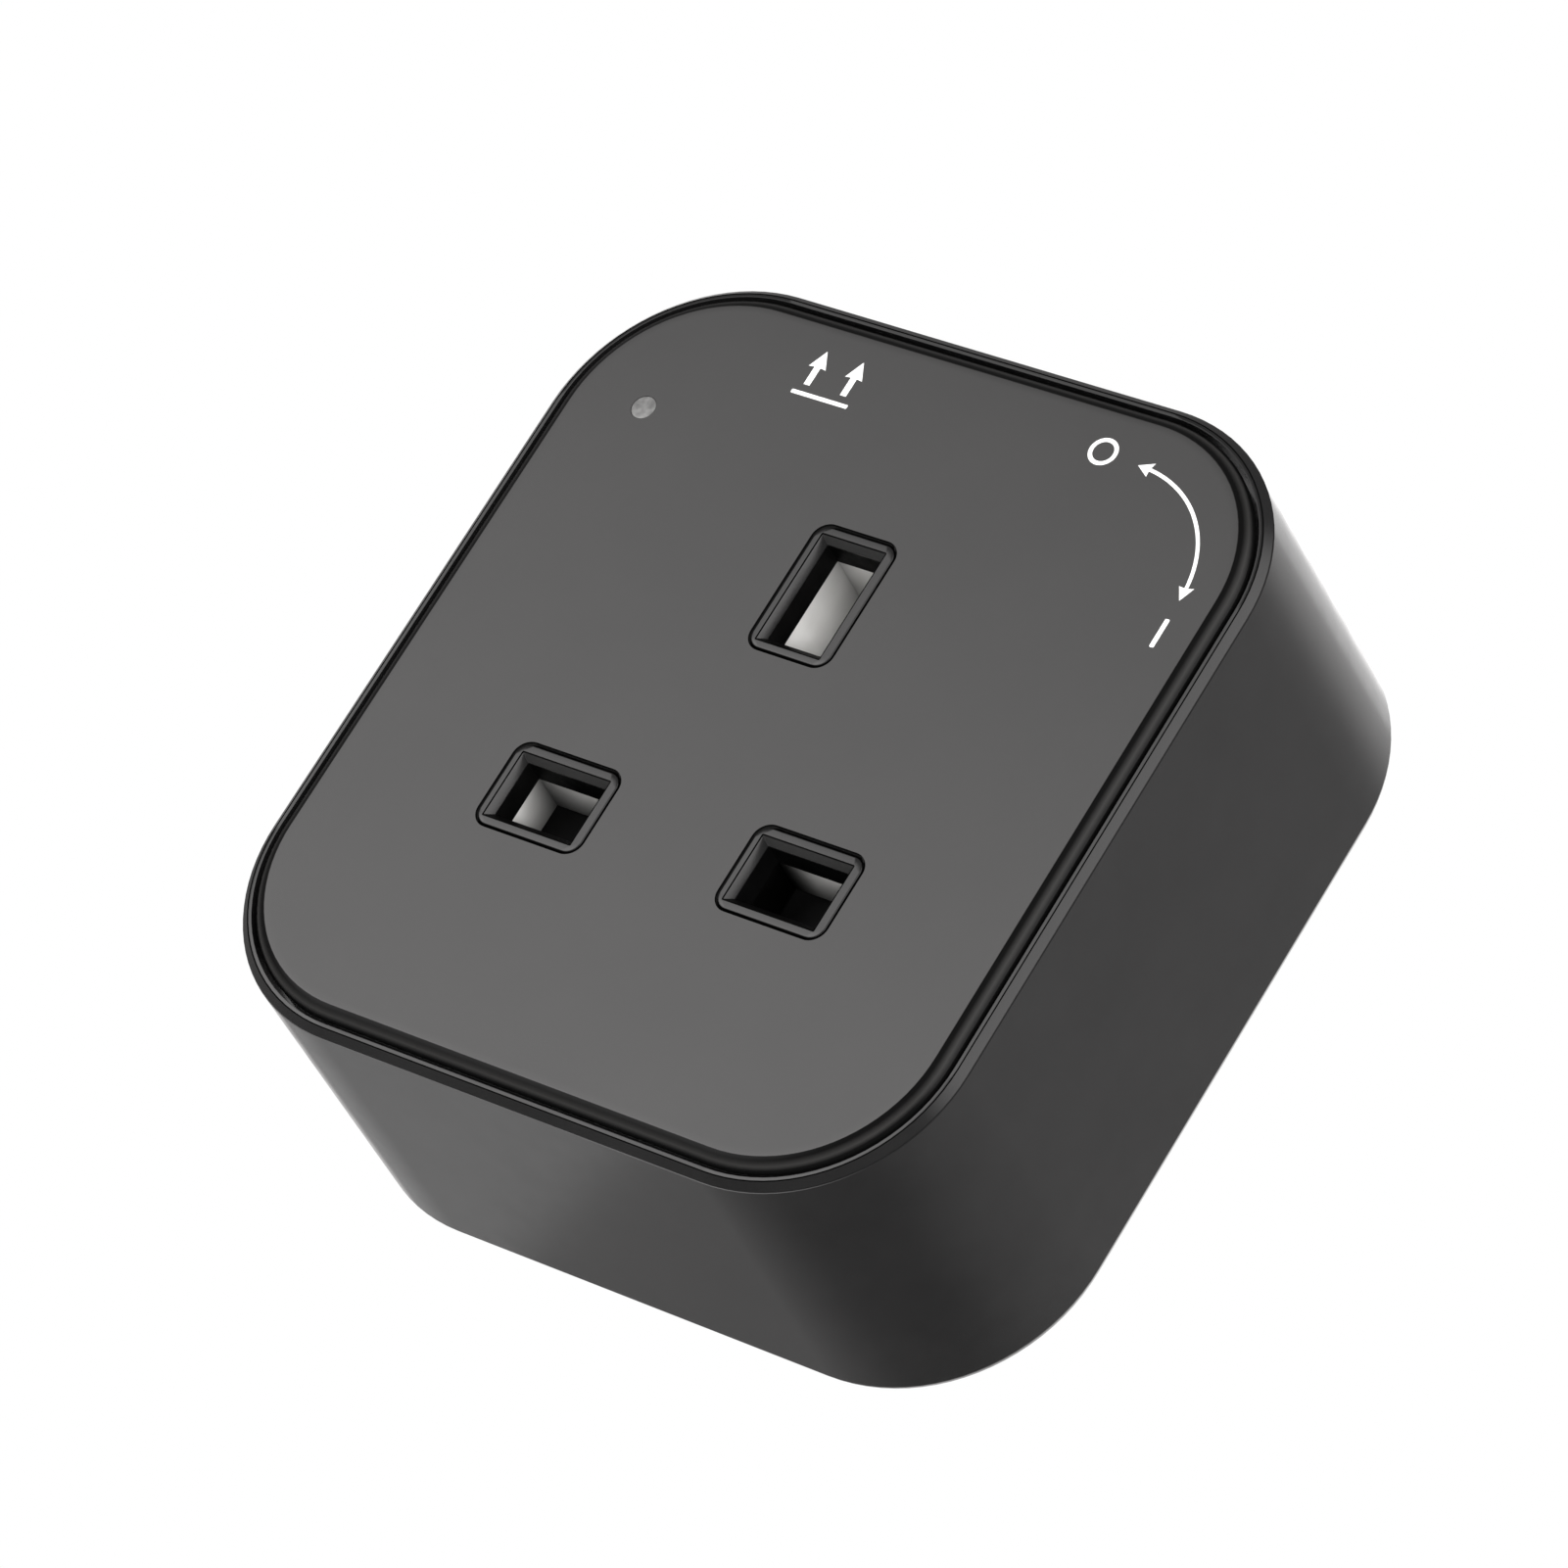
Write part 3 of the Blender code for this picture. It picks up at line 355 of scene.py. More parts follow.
def rolled_edge():
    """The plate's rolled edge: painted shade, near-black, with a painted sheen as a lighter band along
    its middle.
    """
    made = Nodes("rolled_edge")
    made.set(Specular_IOR_Level=0.10)
    split = made.tree.nodes.new("ShaderNodeSeparateXYZ")
    made.link(made.place, split.inputs["Vector"])
    start, middle, end = (at(0.0, depth, 0.0).y for depth in (0.18, 0.44, 0.66))
    rise = made.ranged(split.outputs["Y"], 0.0, 1.0, start, middle)
    fall = made.ranged(split.outputs["Y"], 1.0, 0.0, middle, end)
    # painted sheen: the colour grows lighter across the middle of the roll's depth
    band = made.tree.nodes.new("ShaderNodeMath")
    band.operation = "MULTIPLY"
    made.link(rise, band.inputs[0])
    made.link(fall, band.inputs[1])
    made.color(band.outputs["Value"], (0.003, 0.003, 0.003), (0.024, 0.0235, 0.023))
    made.roughness(made.noise(0.9), 0.16, 0.24)
    made.bump(made.noise(3.0), 1.0)
    return made.material


def lens_material():
    """Frosted grey plastic."""
    made = Nodes("frosted_lens")
    made.color(made.ranged(made.noise(1.3, 6.0), 0.0, 1.0), (0.075, 0.075, 0.075), (0.21, 0.21, 0.205))
    made.roughness(made.noise(2.0), 0.25, 0.4)
    made.bump(made.noise(2.4, 4.0), 6.0)
    return made.material


def ink_material():
    """Matt white print."""
    made = Nodes("white_ink")
    made.color(made.ranged(made.noise(3.0), 0.0, 1.0), (0.90, 0.90, 0.89), (0.97, 0.97, 0.97))
    made.roughness(made.noise(5.0), 0.42, 0.6)
    made.bump(made.noise(9.0), 1.5)
    return made.material


def metal(name, low, high, rough, brushed=(1.0, 14.0, 14.0)):
    """Rolled or plated metal: drawn grain in its gloss and height, and slight tarnish."""
    made = Nodes(name)
    made.set(Metallic=1.0)
    made.color(made.ranged(made.noise(0.35, 5.0), 0.0, 1.0), low, high)
    grain = made.noise(0.9, 4.0, made.stretched(brushed))
    made.roughness(grain, *rough)
    made.bump(grain, 1.2)
    return made.material


def screw_material():
    """Plated steel with painted shade below the face of the head, where the cross recess is."""
    made = Nodes("screw_steel")
    made.set(Metallic=1.0)
    split = made.tree.nodes.new("ShaderNodeSeparateXYZ")
    made.link(made.place, split.inputs["Vector"])
    recess, face = (at(0.0, depth, 0.0).y for depth in (28.45, 28.8))
    height = made.ranged(split.outputs["Y"], 0.0, 1.0, recess, face)
    made.color(height, (0.05, 0.05, 0.052), (0.46, 0.465, 0.48))
    made.roughness(made.noise(0.9, 4.0, made.stretched((14.0, 1.0, 14.0))), 0.26, 0.44)
    made.bump(made.noise(1.6, 4.0), 2.0)
    return made.material


def board_material():
    """Solder mask over copper tracks, with the weave of the laminate under it."""
    made = Nodes("circuit_board")
    tracks = made.tree.nodes.new("ShaderNodeTexBrick")
    tracks.inputs["Scale"].default_value = 0.32 / MM
    tracks.inputs["Mortar Size"].default_value = 0.06
    tracks.inputs["Mortar Smooth"].default_value = 0.4
    turn = made.tree.nodes.new("ShaderNodeMapping")
    turn.inputs["Rotation"].default_value = (math.radians(90), 0.0, 0.0)
    made.link(made.place, turn.inputs["Vector"])
    made.link(turn.outputs["Vector"], tracks.inputs["Vector"])
    made.color(tracks.outputs["Fac"], (0.012, 0.105, 0.045), (0.03, 0.20, 0.085))
    made.roughness(made.noise(0.8), 0.28, 0.42)
    made.bump(tracks.outputs["Fac"], 30.0)
    return made.material


def striped_material():
    """Green insulation with a yellow stripe that winds round the wire."""
    made = Nodes("green_yellow_insulation")
    wave = made.tree.nodes.new("ShaderNodeTexWave")
    wave.inputs["Scale"].default_value = 0.28 / MM
    wave.inputs["Distortion"].default_value = 0.4
    made.link(made.place, wave.inputs["Vector"])
    stripe = made.ranged(wave.outputs["Fac"], 0.0, 1.0, 0.45, 0.55)
    made.color(stripe, (0.03, 0.26, 0.05), (0.72, 0.56, 0.03))
    made.roughness(made.noise(1.5), 0.35, 0.5)
    made.bump(made.noise(3.0), 4.0)
    return made.material


def sleeve_material():
    """Dark shrink sleeve of a capacitor."""
    made = Nodes("shrink_sleeve")
    made.color(made.ranged(made.noise(0.2, 4.0), 0.0, 1.0), (0.015, 0.015, 0.02), (0.035, 0.035, 0.045))
    made.roughness(made.noise(0.9), 0.22, 0.36)
    made.bump(made.noise(0.7, 5.0), 12.0)
    return made.material


def sleeve_plastic():
    """The pale plastic of the slots, with the painted shade that each sleeve carries on its points."""
    made = Nodes("shaded_pale_plastic")
    cloud = made.ranged(made.noise(0.4, 4.0), 0.0, 1.0)
    pale = made.mixed(cloud, (0.72, 0.71, 0.69), (0.80, 0.795, 0.775))
    shade = made.tree.nodes.new("ShaderNodeAttribute")
    shade.attribute_name = "shade"
    product = made.tree.nodes.new("ShaderNodeMix")
    product.data_type = "RGBA"
    product.blend_type = "MULTIPLY"
    product.inputs["Factor"].default_value = 1.0
    made.link(pale, product.inputs["A"])
    made.link(shade.outputs["Color"], product.inputs["B"])
    made.link(product.outputs["Result"], made.shader.inputs["Base Color"])
    made.roughness(made.noise(0.8), 0.36, 0.5)
    made.bump(made.noise(3.0), 2.0)
    return made.material


MOULDED = {  # name, darker and lighter colour, roughness, grains per mm and their height in microns
    "front_plate": (
        "gloss_plate", (0.0115, 0.0113, 0.0112), (0.0135, 0.0132, 0.013), (0.07, 0.10), 0.6, 0.5,
    ),
    "case_black": (
        "satin_case", (0.0070, 0.0069, 0.0070), (0.0095, 0.0094, 0.0095), (0.15, 0.20), 3.0, 0.8,
    ),
    "inner_black": (
        "plain_black", (0.014, 0.014, 0.0145), (0.021, 0.021, 0.0215), (0.34, 0.46), 5.0, 4.0,
    ),
    "pale_plastic": ("pale_plastic", (0.70, 0.69, 0.67), (0.78, 0.775, 0.755), (0.30, 0.42), 3.0, 2.5),
    "relay_case": ("relay_case", (0.018, 0.075, 0.28), (0.03, 0.10, 0.36), (0.26, 0.38), 2.0, 3.0),
    "film_part": ("film_wrap", (0.58, 0.36, 0.025), (0.74, 0.50, 0.06), (0.24, 0.40), 1.4, 8.0),
    "disc_part": ("dipped_disc", (0.02, 0.10, 0.30), (0.04, 0.16, 0.42), (0.22, 0.34), 0.9, 14.0),
    "wire_brown": ("brown_insulation", (0.13, 0.045, 0.018), (0.20, 0.07, 0.03), (0.34, 0.5), 2.0, 4.0),
    "wire_blue": ("blue_insulation", (0.02, 0.09, 0.40), (0.035, 0.13, 0.52), (0.34, 0.5), 2.0, 4.0),
    # painted light: a lighter copy of the case's black, for the lead-ins' upper sides
    "lead_in": ("lead_in", (0.021, 0.0208, 0.0206), (0.026, 0.0258, 0.0256), (0.30, 0.42), 3.0, 2.0),
}
MATERIALS = {slot: moulded(*row) for slot, row in MOULDED.items()}
MATERIALS |= {
    "pale_sleeve": sleeve_plastic(),
    "lens": lens_material(),
    "brass": metal("rolled_brass", (0.62, 0.42, 0.17), (0.82, 0.60, 0.29), (0.20, 0.38)),
    "steel": metal("plated_steel", (0.50, 0.51, 0.53), (0.66, 0.67, 0.68), (0.22, 0.40)),
    "screw": screw_material(),
    "board": board_material(),
    "sleeve": sleeve_material(),
    "wire_green": striped_material(),
}
# painted shade and a painted sheen for the plate's rolled edge
EDGE_SHADE_AND_SHEEN = rolled_edge()
# painted shade: near-black for the rim's groove, the collars' gaps and mouths, and the slots' walls
PAINTED_SHADE_BLACK = dull_black("slot_wall", 0.40, 0.55, 0.04)
SHUTTER_BLACK = dull_black("shutter_black", 0.45, 0.60, 0.12)


def paint(obj, material):
    """Makes this the object's only material."""
    obj.data.materials.clear()
    obj.data.materials.append(material)


def stand_for(obj, body, slot, *nodes):
    """The piece takes its slot's material, moves with its body and stands for its CAD nodes."""
    paint(obj, MATERIALS[slot])
    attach(obj, body)
    if nodes:
        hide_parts(*nodes)


def second_material(obj, material, chosen):
    """Gives the faces that chosen(face) picks another material."""
    obj.data.materials.append(material)
    for face in obj.data.polygons:
        if chosen(face):
            face.material_index = len(obj.data.materials) - 1


def row_of(face, rings):
    """Which pair of rings a lofted face lies between."""
    return face.index // len(rings[0])


# ---------------------------------------------------------------------------- the pieces that show


def housing_shell():
    """Drafted walls, the bevelled rim with its flat top, and a ledge for each cover.

    The profile runs in (depth, inset) pairs.
    """
    flat_top = [(0.82, 0.97), (0.76, 0.965), (0.75, 0.955), (0.75, 0.72), (0.755, 0.71)]
    groove = [(0.86, 0.685), (0.86, 0.625), (0.76, 0.60)]
    slope = [(1.245, 0.075), (1.265, 0.065)]
    line = [(1.32, 0.075), (1.36, 0.065), (1.385, 0.005)]
    back = [(1.43, 0.0), (28.3, 0.0), (28.85, 0.22), (BODY_DEPTH, 0.62), (BODY_DEPTH, BACK_LIP)]
    inside = [(BACK_LEDGE, BACK_LIP), (BACK_LEDGE, SHELL_WALL)]
    inside += [(FRONT_LEDGE, SHELL_WALL), (FRONT_LEDGE, flat_top[0][1])]
    front = flat_top + groove + slope + line
    profile = front + fillet(back + inside, [0, 0.6, 0.3, 0.12, 0.12, 0, 0, 0, 0])
    rings = []
    for depth, inset in profile:
        rings += rings_at(housing_outline(max(depth, RIM_DEPTH), inset), [depth])
    shell = loft("housing_walls", rings, closed=True)
    crisp(shell)
    even_normals(shell)
    stand_for(shell, "housing", "case_black", "housing_shell")
    # the groove between the rim and the plate is painted near-black: painted shade
    first = profile.index(groove[0]) - 1
    dark = range(first, first + len(groove))
    second_material(shell, PAINTED_SHADE_BLACK, lambda face: row_of(face, rings) in dark)


def front_plate():
    """The gloss plate with its rolled edge, a hole round each collar and one round the lens."""
    plate_edge, thickness = 1.27, 1.3
    profile = [  # inset from the plate's edge, and depth
        (1.6, 0.0), (1.06, 0.0), (1.0, 0.012), (0.94, 0.04), (0.78, 0.12), (0.60, 0.225), (0.42, 0.355),
        (0.26, 0.50), (0.13, 0.66), (0.04, 0.82), (0.0, 0.95), (0.03, 1.25), (0.08, thickness),
    ]
    rings = []
    for inset, depth in profile:
        points = housing_outline(RIM_DEPTH, plate_edge + inset)
        rings += rings_at(points, [PLATE_FACE + depth * (1 - PLATE_FACE / thickness)])
    plate = loft("gloss_plate", rings)
    through = (-1.0, 2.0)
    lens_hole, hole_corner = LENS_RADIUS + 0.03, 1.4
    tools = []
    for name, (center, _, collar) in SLOTS.items():
        middle, half = grown(center, collar, HOLE_SET)
        points = outline(*half, hole_corner, middle, 10)
        tools.append(loft(name + "_tool", rings_at(points, through)))
    tools.append(turned("lens_tool", LENS_AT, [(lens_hole, depth) for depth in through]))
    cut(plate, *tools)
    bevel(plate, 0.025, 2, 50)
    even_normals(plate)
    stand_for(plate, "housing", "front_plate", "front_plate")
    # the rolled edge gets painted shade, with a painted sheen band
    edge = at(0.0, PLATE_FACE + 0.02, 0.0).y
    second_material(plate, EDGE_SHADE_AND_SHEEN, lambda face: face.center.y > edge)


def slot_collar(name, center, slot, collar):
    """One flush collar: round outside, a flat rim, a mitred lead-in, and the slot's walls, painted
    near-black as painted shade.
    """
    outside, collar = grown(center, collar, COLLAR_SET)
    profile = [  # depth, half size and corner radius
        (POST_ROOT, collar, 1.1),
        (0.07, collar, 1.1),
        (0.035, less(collar, 0.035), 1.07),
        (0.02, less(collar, 0.08), 1.02),
        (0.02, less(slot, -0.05), 0.13),
        (0.12, less(slot, -0.035), 0.11),
        (0.12, less(slot, 0.045), 0.07),
        (0.06, less(slot, 0.06), 0.06),
        (0.72, less(slot, 0.43), 0.05),
        (0.78, less(slot, SLOT_INSET), 0.05),
        (SLEEVE_FRONT, less(slot, SLOT_INSET), 0.05),
        (SLEEVE_FRONT, less(slot, 0.2), 0.1),
    ]
    outer_rings, lip_rings, lead_in = range(4), range(8, 11), 7
    # rows in painted shade: the collar's outside in the plate's gap, a small groove round the slot's
    # mouth, and the slot's walls
    dark = (0, 4, 5, 6, 9, 10, 11)
    rings = []
    for i, (depth, half, radius) in enumerate(profile):
        middle = outside if i in outer_rings else center
        if i in lip_rings:
            middle, half = grown(center, half, LIP_SET)
        rings += rings_at(outline(*half, radius, middle, 8), [depth])

    def faces_up(face):
        return row_of(face, rings) == lead_in and face.normal.z > 0.5

    def faces_down(face):
        return row_of(face, rings) == lead_in and face.normal.z < -0.5

    ring = loft(name + "_slot_collar", rings, closed=True)
    crisp(ring)
    even_normals(ring)
    stand_for(ring, "housing", "case_black")
    # painted shade on those rows and on the lead-in's lower side, which faces up
    second_material(ring, PAINTED_SHADE_BLACK, lambda face: row_of(face, rings) in dark or faces_up(face))
    # painted light: the lead-in's upper side, which faces down, takes a lighter copy of the black
    # plastic
    second_material(ring, MATERIALS["lead_in"], faces_down)


def front_cover():
    """The cover: its floor with the skirt behind it, the collars and the posts."""
    edge = housing_outline(RIM_DEPTH, 1.3)
    skirt = housing_outline(RIM_DEPTH, 3.2)
    inner = housing_outline(RIM_DEPTH, 4.5)
    rings = rings_at(edge, (COVER_FACE, COVER_BACK))
    rings += rings_at(skirt, (COVER_BACK, SKIRT_BACK))
    rings += rings_at(inner, (SKIRT_BACK, COVER_BACK + 0.01))
    floor = loft("cover_floor", rings)
    through = (0.0, 4.0)
    lens_hole, slot_inset, slot_corner = LENS_RADIUS + 0.15, 0.3, 0.3
    tools = []
    for name, (center, slot, _) in SLOTS.items():
        points = outline(*less(slot, slot_inset), slot_corner, center, 4)
        tools.append(loft(name + "_tool", rings_at(points, through)))
    tools.append(turned("lens_tool", LENS_AT, [(lens_hole, depth) for depth in through]))
    cut(floor, *tools)
    bevel(floor, 0.08)
    even_normals(floor)
    stand_for(floor, "housing", "case_black", "front_cover")
    for name, (center, slot, collar) in SLOTS.items():
        slot_collar(name, center, slot, collar)
    posts()


def posts():
    """Four stepped posts for the case screws, and two short ones that the carrier stands on."""
    shoulder, shoulder_end, radius, bore = 3.2, 9.7, 2.6, 1.6
    tall = [(shoulder, POST_ROOT), (shoulder, shoulder_end)]
    tall += [(radius, shoulder_end), (radius, BACK_LEDGE), (bore, BACK_LEDGE)]
    tall = fillet(tall, [0, 0.2, 0.1, 0.2, 0])
    root, tip, bore, end = 2.6, 2.5, 1.5, 18.5
    short = fillet([(root, POST_ROOT), (tip, end), (bore, end)], [0, 0.2, 0])
    for side_x in (-1, 1):
        post = turned("carrier_post", (side_x * CARRIER_POST_X, 0.0), short)
        stand_for(post, "housing", "case_black")
        for side_z in (-1, 1):
            post = turned("cover_post", (side_x * CASE_POST_AT[0], side_z * CASE_POST_AT[1]), tall)
            stand_for(post, "housing", "case_black")


def pin_guide():
    """Pale moulding behind the cover: a body, and a sleeve that lines each slot."""
    corner, slot_inset, slot_corner = 0.8, -0.1, 0.3
    points = outline(*GUIDE_HALF, corner, GUIDE_MIDDLE, 4)
    body = loft("guide_body", rings_at(points, GUIDE_DEPTH))
    through = (2.0, 8.0)
    tools = []
    for name, (center, slot, _) in SLOTS.items():
        points = outline(*less(slot, slot_inset), slot_corner, center, 4)
        tools.append(loft(name + "_tool", rings_at(points, through)))
    cut(body, *tools)
    bevel(body, 0.1)
    even_normals(body)
    stand_for(body, "housing", "pale_plastic", "pin_guide")
    for name, (center, slot, _) in SLOTS.items():
        inner = less(slot, SLOT_INSET)
        sleeve = slot_sleeve(name, center, inner)
        crisp(sleeve)
        stand_for(sleeve, "housing", "pale_plastic")
        paint(sleeve, MATERIALS["pale_sleeve"])
        shade_sleeve(sleeve, name, center, inner)


def slot_sleeve(name, center, inner):
    """A fine-meshed sleeve; the earth slot's is open below, where the shutter's ramp moves."""
    front, back = SLEEVE_FRONT, SLEEVE_BACK[name]
    steps = 12
    depths = [front + (back - front) * i / steps for i in range(steps + 1)]
    rings = rings_at(fine_rectangle(inner, center), depths)
    rings += rings_at(fine_rectangle(less(inner, -SLEEVE_WALL), center), (back, front))
    sleeve = loft(name + "_slot_sleeve", rings, closed=True)
    if name == "earth":
        spare, overlap = 1.0, 0.02
        below = (center[0], center[1] - inner[1] - spare)
        points = outline(inner[0] + SLEEVE_WALL + 0.1, spare + overlap, 0.05, below, 1)
        cut(sleeve, loft("ramp_tool", rings_at(points, (RAMP_FRONT, back + spare))))
    return sleeve


def fine_rectangle(half, center, steps=16):
    """A rectangle with points along its sides, as (x, z)."""
    corners = [(1, 1), (-1, 1), (-1, -1), (1, -1)]
    points = []
    for (x0, z0), (x1, z1) in zip(corners, corners[1:] + corners[:1]):
        for i in range(steps):
            t = i / steps
            x = center[0] + half[0] * (x0 + (x1 - x0) * t)
            z = center[1] + half[1] * (z0 + (z1 - z0) * t)
            points.append((x, z))
    return points


def shade_sleeve(sleeve, name, center, inner):
    """Painted shade on the sleeve: darker towards the shutter and its upper left corner.

    x and z are shares of the slot's width and height, from that corner.
    """
    layer = sleeve.data.color_attributes.new("shade", "FLOAT_COLOR", "POINT")
    for vertex, value in zip(sleeve.data.vertices, layer.data):
        x = max(0.0, (vertex.co.x / MM - center[0] + inner[0]) / (2 * inner[0]))
        z = max(0.0, (center[1] + inner[1] - vertex.co.z / MM) / (2 * inner[1]))
        into = (vertex.co.y / MM + TRACK_FACE - 3.0) / 3.5  # share of the way to the shutter
        corner = min(1.0, math.hypot(x * 1.2, z * 1.6))
        if name == "earth":
            light = 0.24 + 0.70 * corner ** 0.8
        else:
            light = (0.10 + 0.76 * corner) * (1.0 - 0.76 * into)
        # painted shade on the live slot's left wall
        if name == "live":
            light *= min(1.0, x / 0.35) ** 1.5
        value.color = (light, light, light, 1.0)


def light_guide():
    """Frosted rod, flush in the plate."""
    face, collar, collar_end, end = 0.035, 3.05, 3.7, 7.9
    axis, wide = 0.0005, 1.3
    profile = [(axis, face), (LENS_RADIUS, face), (LENS_RADIUS, collar), (wide, collar)]
    profile += [(wide, collar_end), (LENS_RADIUS, collar_end), (LENS_RADIUS, end), (axis, end)]
    rod = turned("lens_rod", LENS_AT, fillet(profile, [0, 0.03, 0, 0.06, 0.06, 0, 0.1, 0]), 64)
    even_normals(rod)
    stand_for(rod, "housing", "lens", "light_guide")


def shutter_spring():
    """Coil under the shutter, with flat end turns, drawn at its rest length; the real coil shortens as
    the shutter slides down.
    """
    low, high = SPRING_FOOT + SPRING_WIRE, SPRING_HEAD - SPRING_WIRE
    steps, sides = 24 * SPRING_TURNS, 8
    rings = []
    for i in range(steps + 1):
        turned_by = SPRING_TURNS * i / steps
        rise = (turned_by - SPRING_FLAT_TURNS) / (SPRING_TURNS - 2 * SPRING_FLAT_TURNS)
        rise = min(1.0, max(0.0, rise))
        angle = 2 * math.pi * turned_by
        ring = []
        for k in range(sides):
            around = 2 * math.pi * k / sides
            reach = SPRING_RADIUS + SPRING_WIRE * math.cos(around)
            z = low + (high - low) * rise + SPRING_WIRE * math.sin(around)
            ring.append(at(reach * math.cos(angle), SPRING_DEPTH + reach * math.sin(angle), z))
        rings.append(ring)
    coil = loft("return_coil", rings)
    stand_for(coil, "housing", "steel", "shutter_spring")
    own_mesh(coil)


# ---------------------------------------------------------------------------- parts on the board


AXIS = 0.001  # radius of the small hole that a turned profile leaves on its axis


def node_box(name):
    """A node's middle and half size as (x, z), and its front and back depth."""
    low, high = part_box(name)
    middle = ((low[0] + high[0]) / 2 / MM, (low[2] + high[2]) / 2 / MM)
    half = ((high[0] - low[0]) / 2 / MM, (high[2] - low[2]) / 2 / MM)
    return middle, half, low[1] / MM + TRACK_FACE, high[1] / MM + TRACK_FACE


def moulded_block(name, node, slot, corner, rows, replaces=True):
    """A block with round corners; rows give (share of its depth, depth added, inset)."""
    middle, half, front, back = node_box(node)
    rings = []
    for share, added, inset in rows:
        points = outline(*less(half, inset), max(0.1, corner - inset * 0.5), middle, 5)
        rings += rings_at(points, [front + share * (back - front) + added])
    made = loft(name, rings)
    crisp(made, 50)
    even_normals(made)
    stand_for(made, "housing", slot, *([node] if replaces else []))


def relay():
    """Sealed relay: a base with a step, and a case with round edges."""
    base = [(0, 0, 0.05), (0, 0.9, 0.05), (0, 0.9, 0.0), (0, 1.0, 0.0)]
    case = [(0, 1.05, 0.3), (1, -0.5, 0.4), (1, -0.15, 0.6), (1, -0.02, 1.0)]
    moulded_block("relay_case", "relay", "relay_case", 0.7, base + case)


def film_capacitor():
    """Boxed film capacitor with soft corners and its potting at the foot."""
    foot = [(0, 0.25, 0.7), (0, 0.2, 0.45), (0, 0, 0.35), (0, 0, 0.1), (0, 0.15, 0)]
    case = [(1, -0.7, 0), (1, -0.25, 0.22), (1, 0, 0.8)]
    moulded_block("capacitor_case", "suppression_capacitor", "film_part", 1.1, foot + case)


def transformer():
    """A taped winding that stands through a ferrite core."""
    node = "supply_transformer"
    foot, top = 0.3, 0.82
    core = [(foot, -0.15, 0.3), (foot, 0, 0.05), (foot, 0.2, 0)]
    core += [(top, -0.2, 0), (top, 0, 0.05), (top, 0.15, 0.3)]
    moulded_block("transformer_core", node, "inner_black", 0.5, core, replaces=False)
    tape = [(0, 0, 2.0), (0, 0.05, 1.7), (0, 0.3, 1.5), (0.5, 0, 1.35)]
    tape += [(1, -0.4, 1.5), (1, -0.05, 1.8), (1, 0, 2.1)]
    moulded_block("transformer_winding", node, "film_part", 1.6, tape)


def shield_can():
    """Pressed can with a flange round its foot and a round-edged lid."""
    rows = [(0, 0, 0.0), (0, 0.2, 0.0), (0, 0.22, 0.3), (1, -0.25, 0.34), (1, -0.07, 0.42), (1, 0, 0.6)]
    moulded_block("shield_can", "radio_shield", "steel", 0.6, rows)


def electrolytic():
    """Sleeved can with a crimped neck at its foot and a scored metal top."""
    middle, half, front, back = node_box("smoothing_capacitor")
    wide = half[0]
    foot = [(AXIS, front), (wide - 0.5, front), (wide, front + 0.35), (wide, front + 1.1)]
    neck = [(wide - 0.4, front + 1.5), (wide, front + 1.9)]
    lid = [(wide, back - 0.35), (wide - 0.35, back), (wide - 0.75, back)]
    lid += [(wide - 0.8, back - 0.15), (AXIS, back - 0.15)]
    profile = fillet(foot + neck + lid, [0, 0, 0.2, 0.2, 0.3, 0.2, 0.2, 0.1, 0, 0, 0], 3)
    can = turned("electrolytic_can", middle, profile)
    crisp(can)
    even_normals(can)
    stand_for(can, "housing", "sleeve", "smoothing_capacitor")
    top = at(0.0, back - 0.2, 0.0).y
    flat = 0.9
    second_material(
        can, MATERIALS["steel"], lambda face: face.center.y > top and abs(face.normal.y) > flat
    )


def varistor():
    """Dipped disc that stands on two legs."""
    middle, half, front, back = node_box("varistor")
    clearance = 0.7  # under the disc
    radius = (back - front - clearance) / 2
    depth = back - radius
    steps, sides = 16, 40
    turns = [2 * math.pi * k / sides for k in range(sides)]
    rings = []
    for i in range(steps + 1):
        angle = math.pi * i / steps
        x = middle[0] - 0.82 * half[0] * math.cos(angle)
        reach = max(AXIS, radius * math.sin(angle) ** 0.35)
        ring = [(depth + reach * math.cos(turn), middle[1] + reach * math.sin(turn)) for turn in turns]
        rings.append([at(x, y, z) for y, z in ring])
    stand_for(loft("varistor_disc", rings), "housing", "disc_part", "varistor")
    for name, side in (("left", -1), ("right", 1)):
        place = (middle[0] + side * 0.5, middle[1] + side * 2.5)
        profile = ((0.3, front), (0.3, front + 1.2), (0.42, front + 2.2))
        leg = turned("varistor_leg_" + name, place, profile, 16)
        stand_for(leg, "housing", "steel")


def led():
    """Round-topped indicator with a flange at its foot."""
    middle, half, front, back = node_box("indicator_led")
    wide = half[0]
    dome, rise, flange = wide - 0.4, 0.5, 0.6
    steps = 7
    profile = []
    for i in range(steps + 1):
        angle = math.radians(90 * i / steps)
        profile.append((max(AXIS, dome * math.sin(angle)), front + rise * (1 - math.cos(angle))))
    profile += [(dome, back - flange), (wide, back - flange), (wide, back), (AXIS, back)]
    bulb = turned("led_dome", middle, profile, 32)
    crisp(bulb)
    stand_for(bulb, "housing", "lens", "indicator_led")


# ---------------------------------------------------------------------------- the printed marks


def arrow_outline(x, low, high, half_shaft, half_head, head):
    """An upright arrow, from its tail to its tip."""
    neck = high - head
    barb = neck - 0.06
    return [
        (x - half_shaft, low), (x + half_shaft, low), (x + half_shaft, neck), (x + half_head, barb),
        (x, high), (x - half_head, barb), (x - half_shaft, neck),
    ]


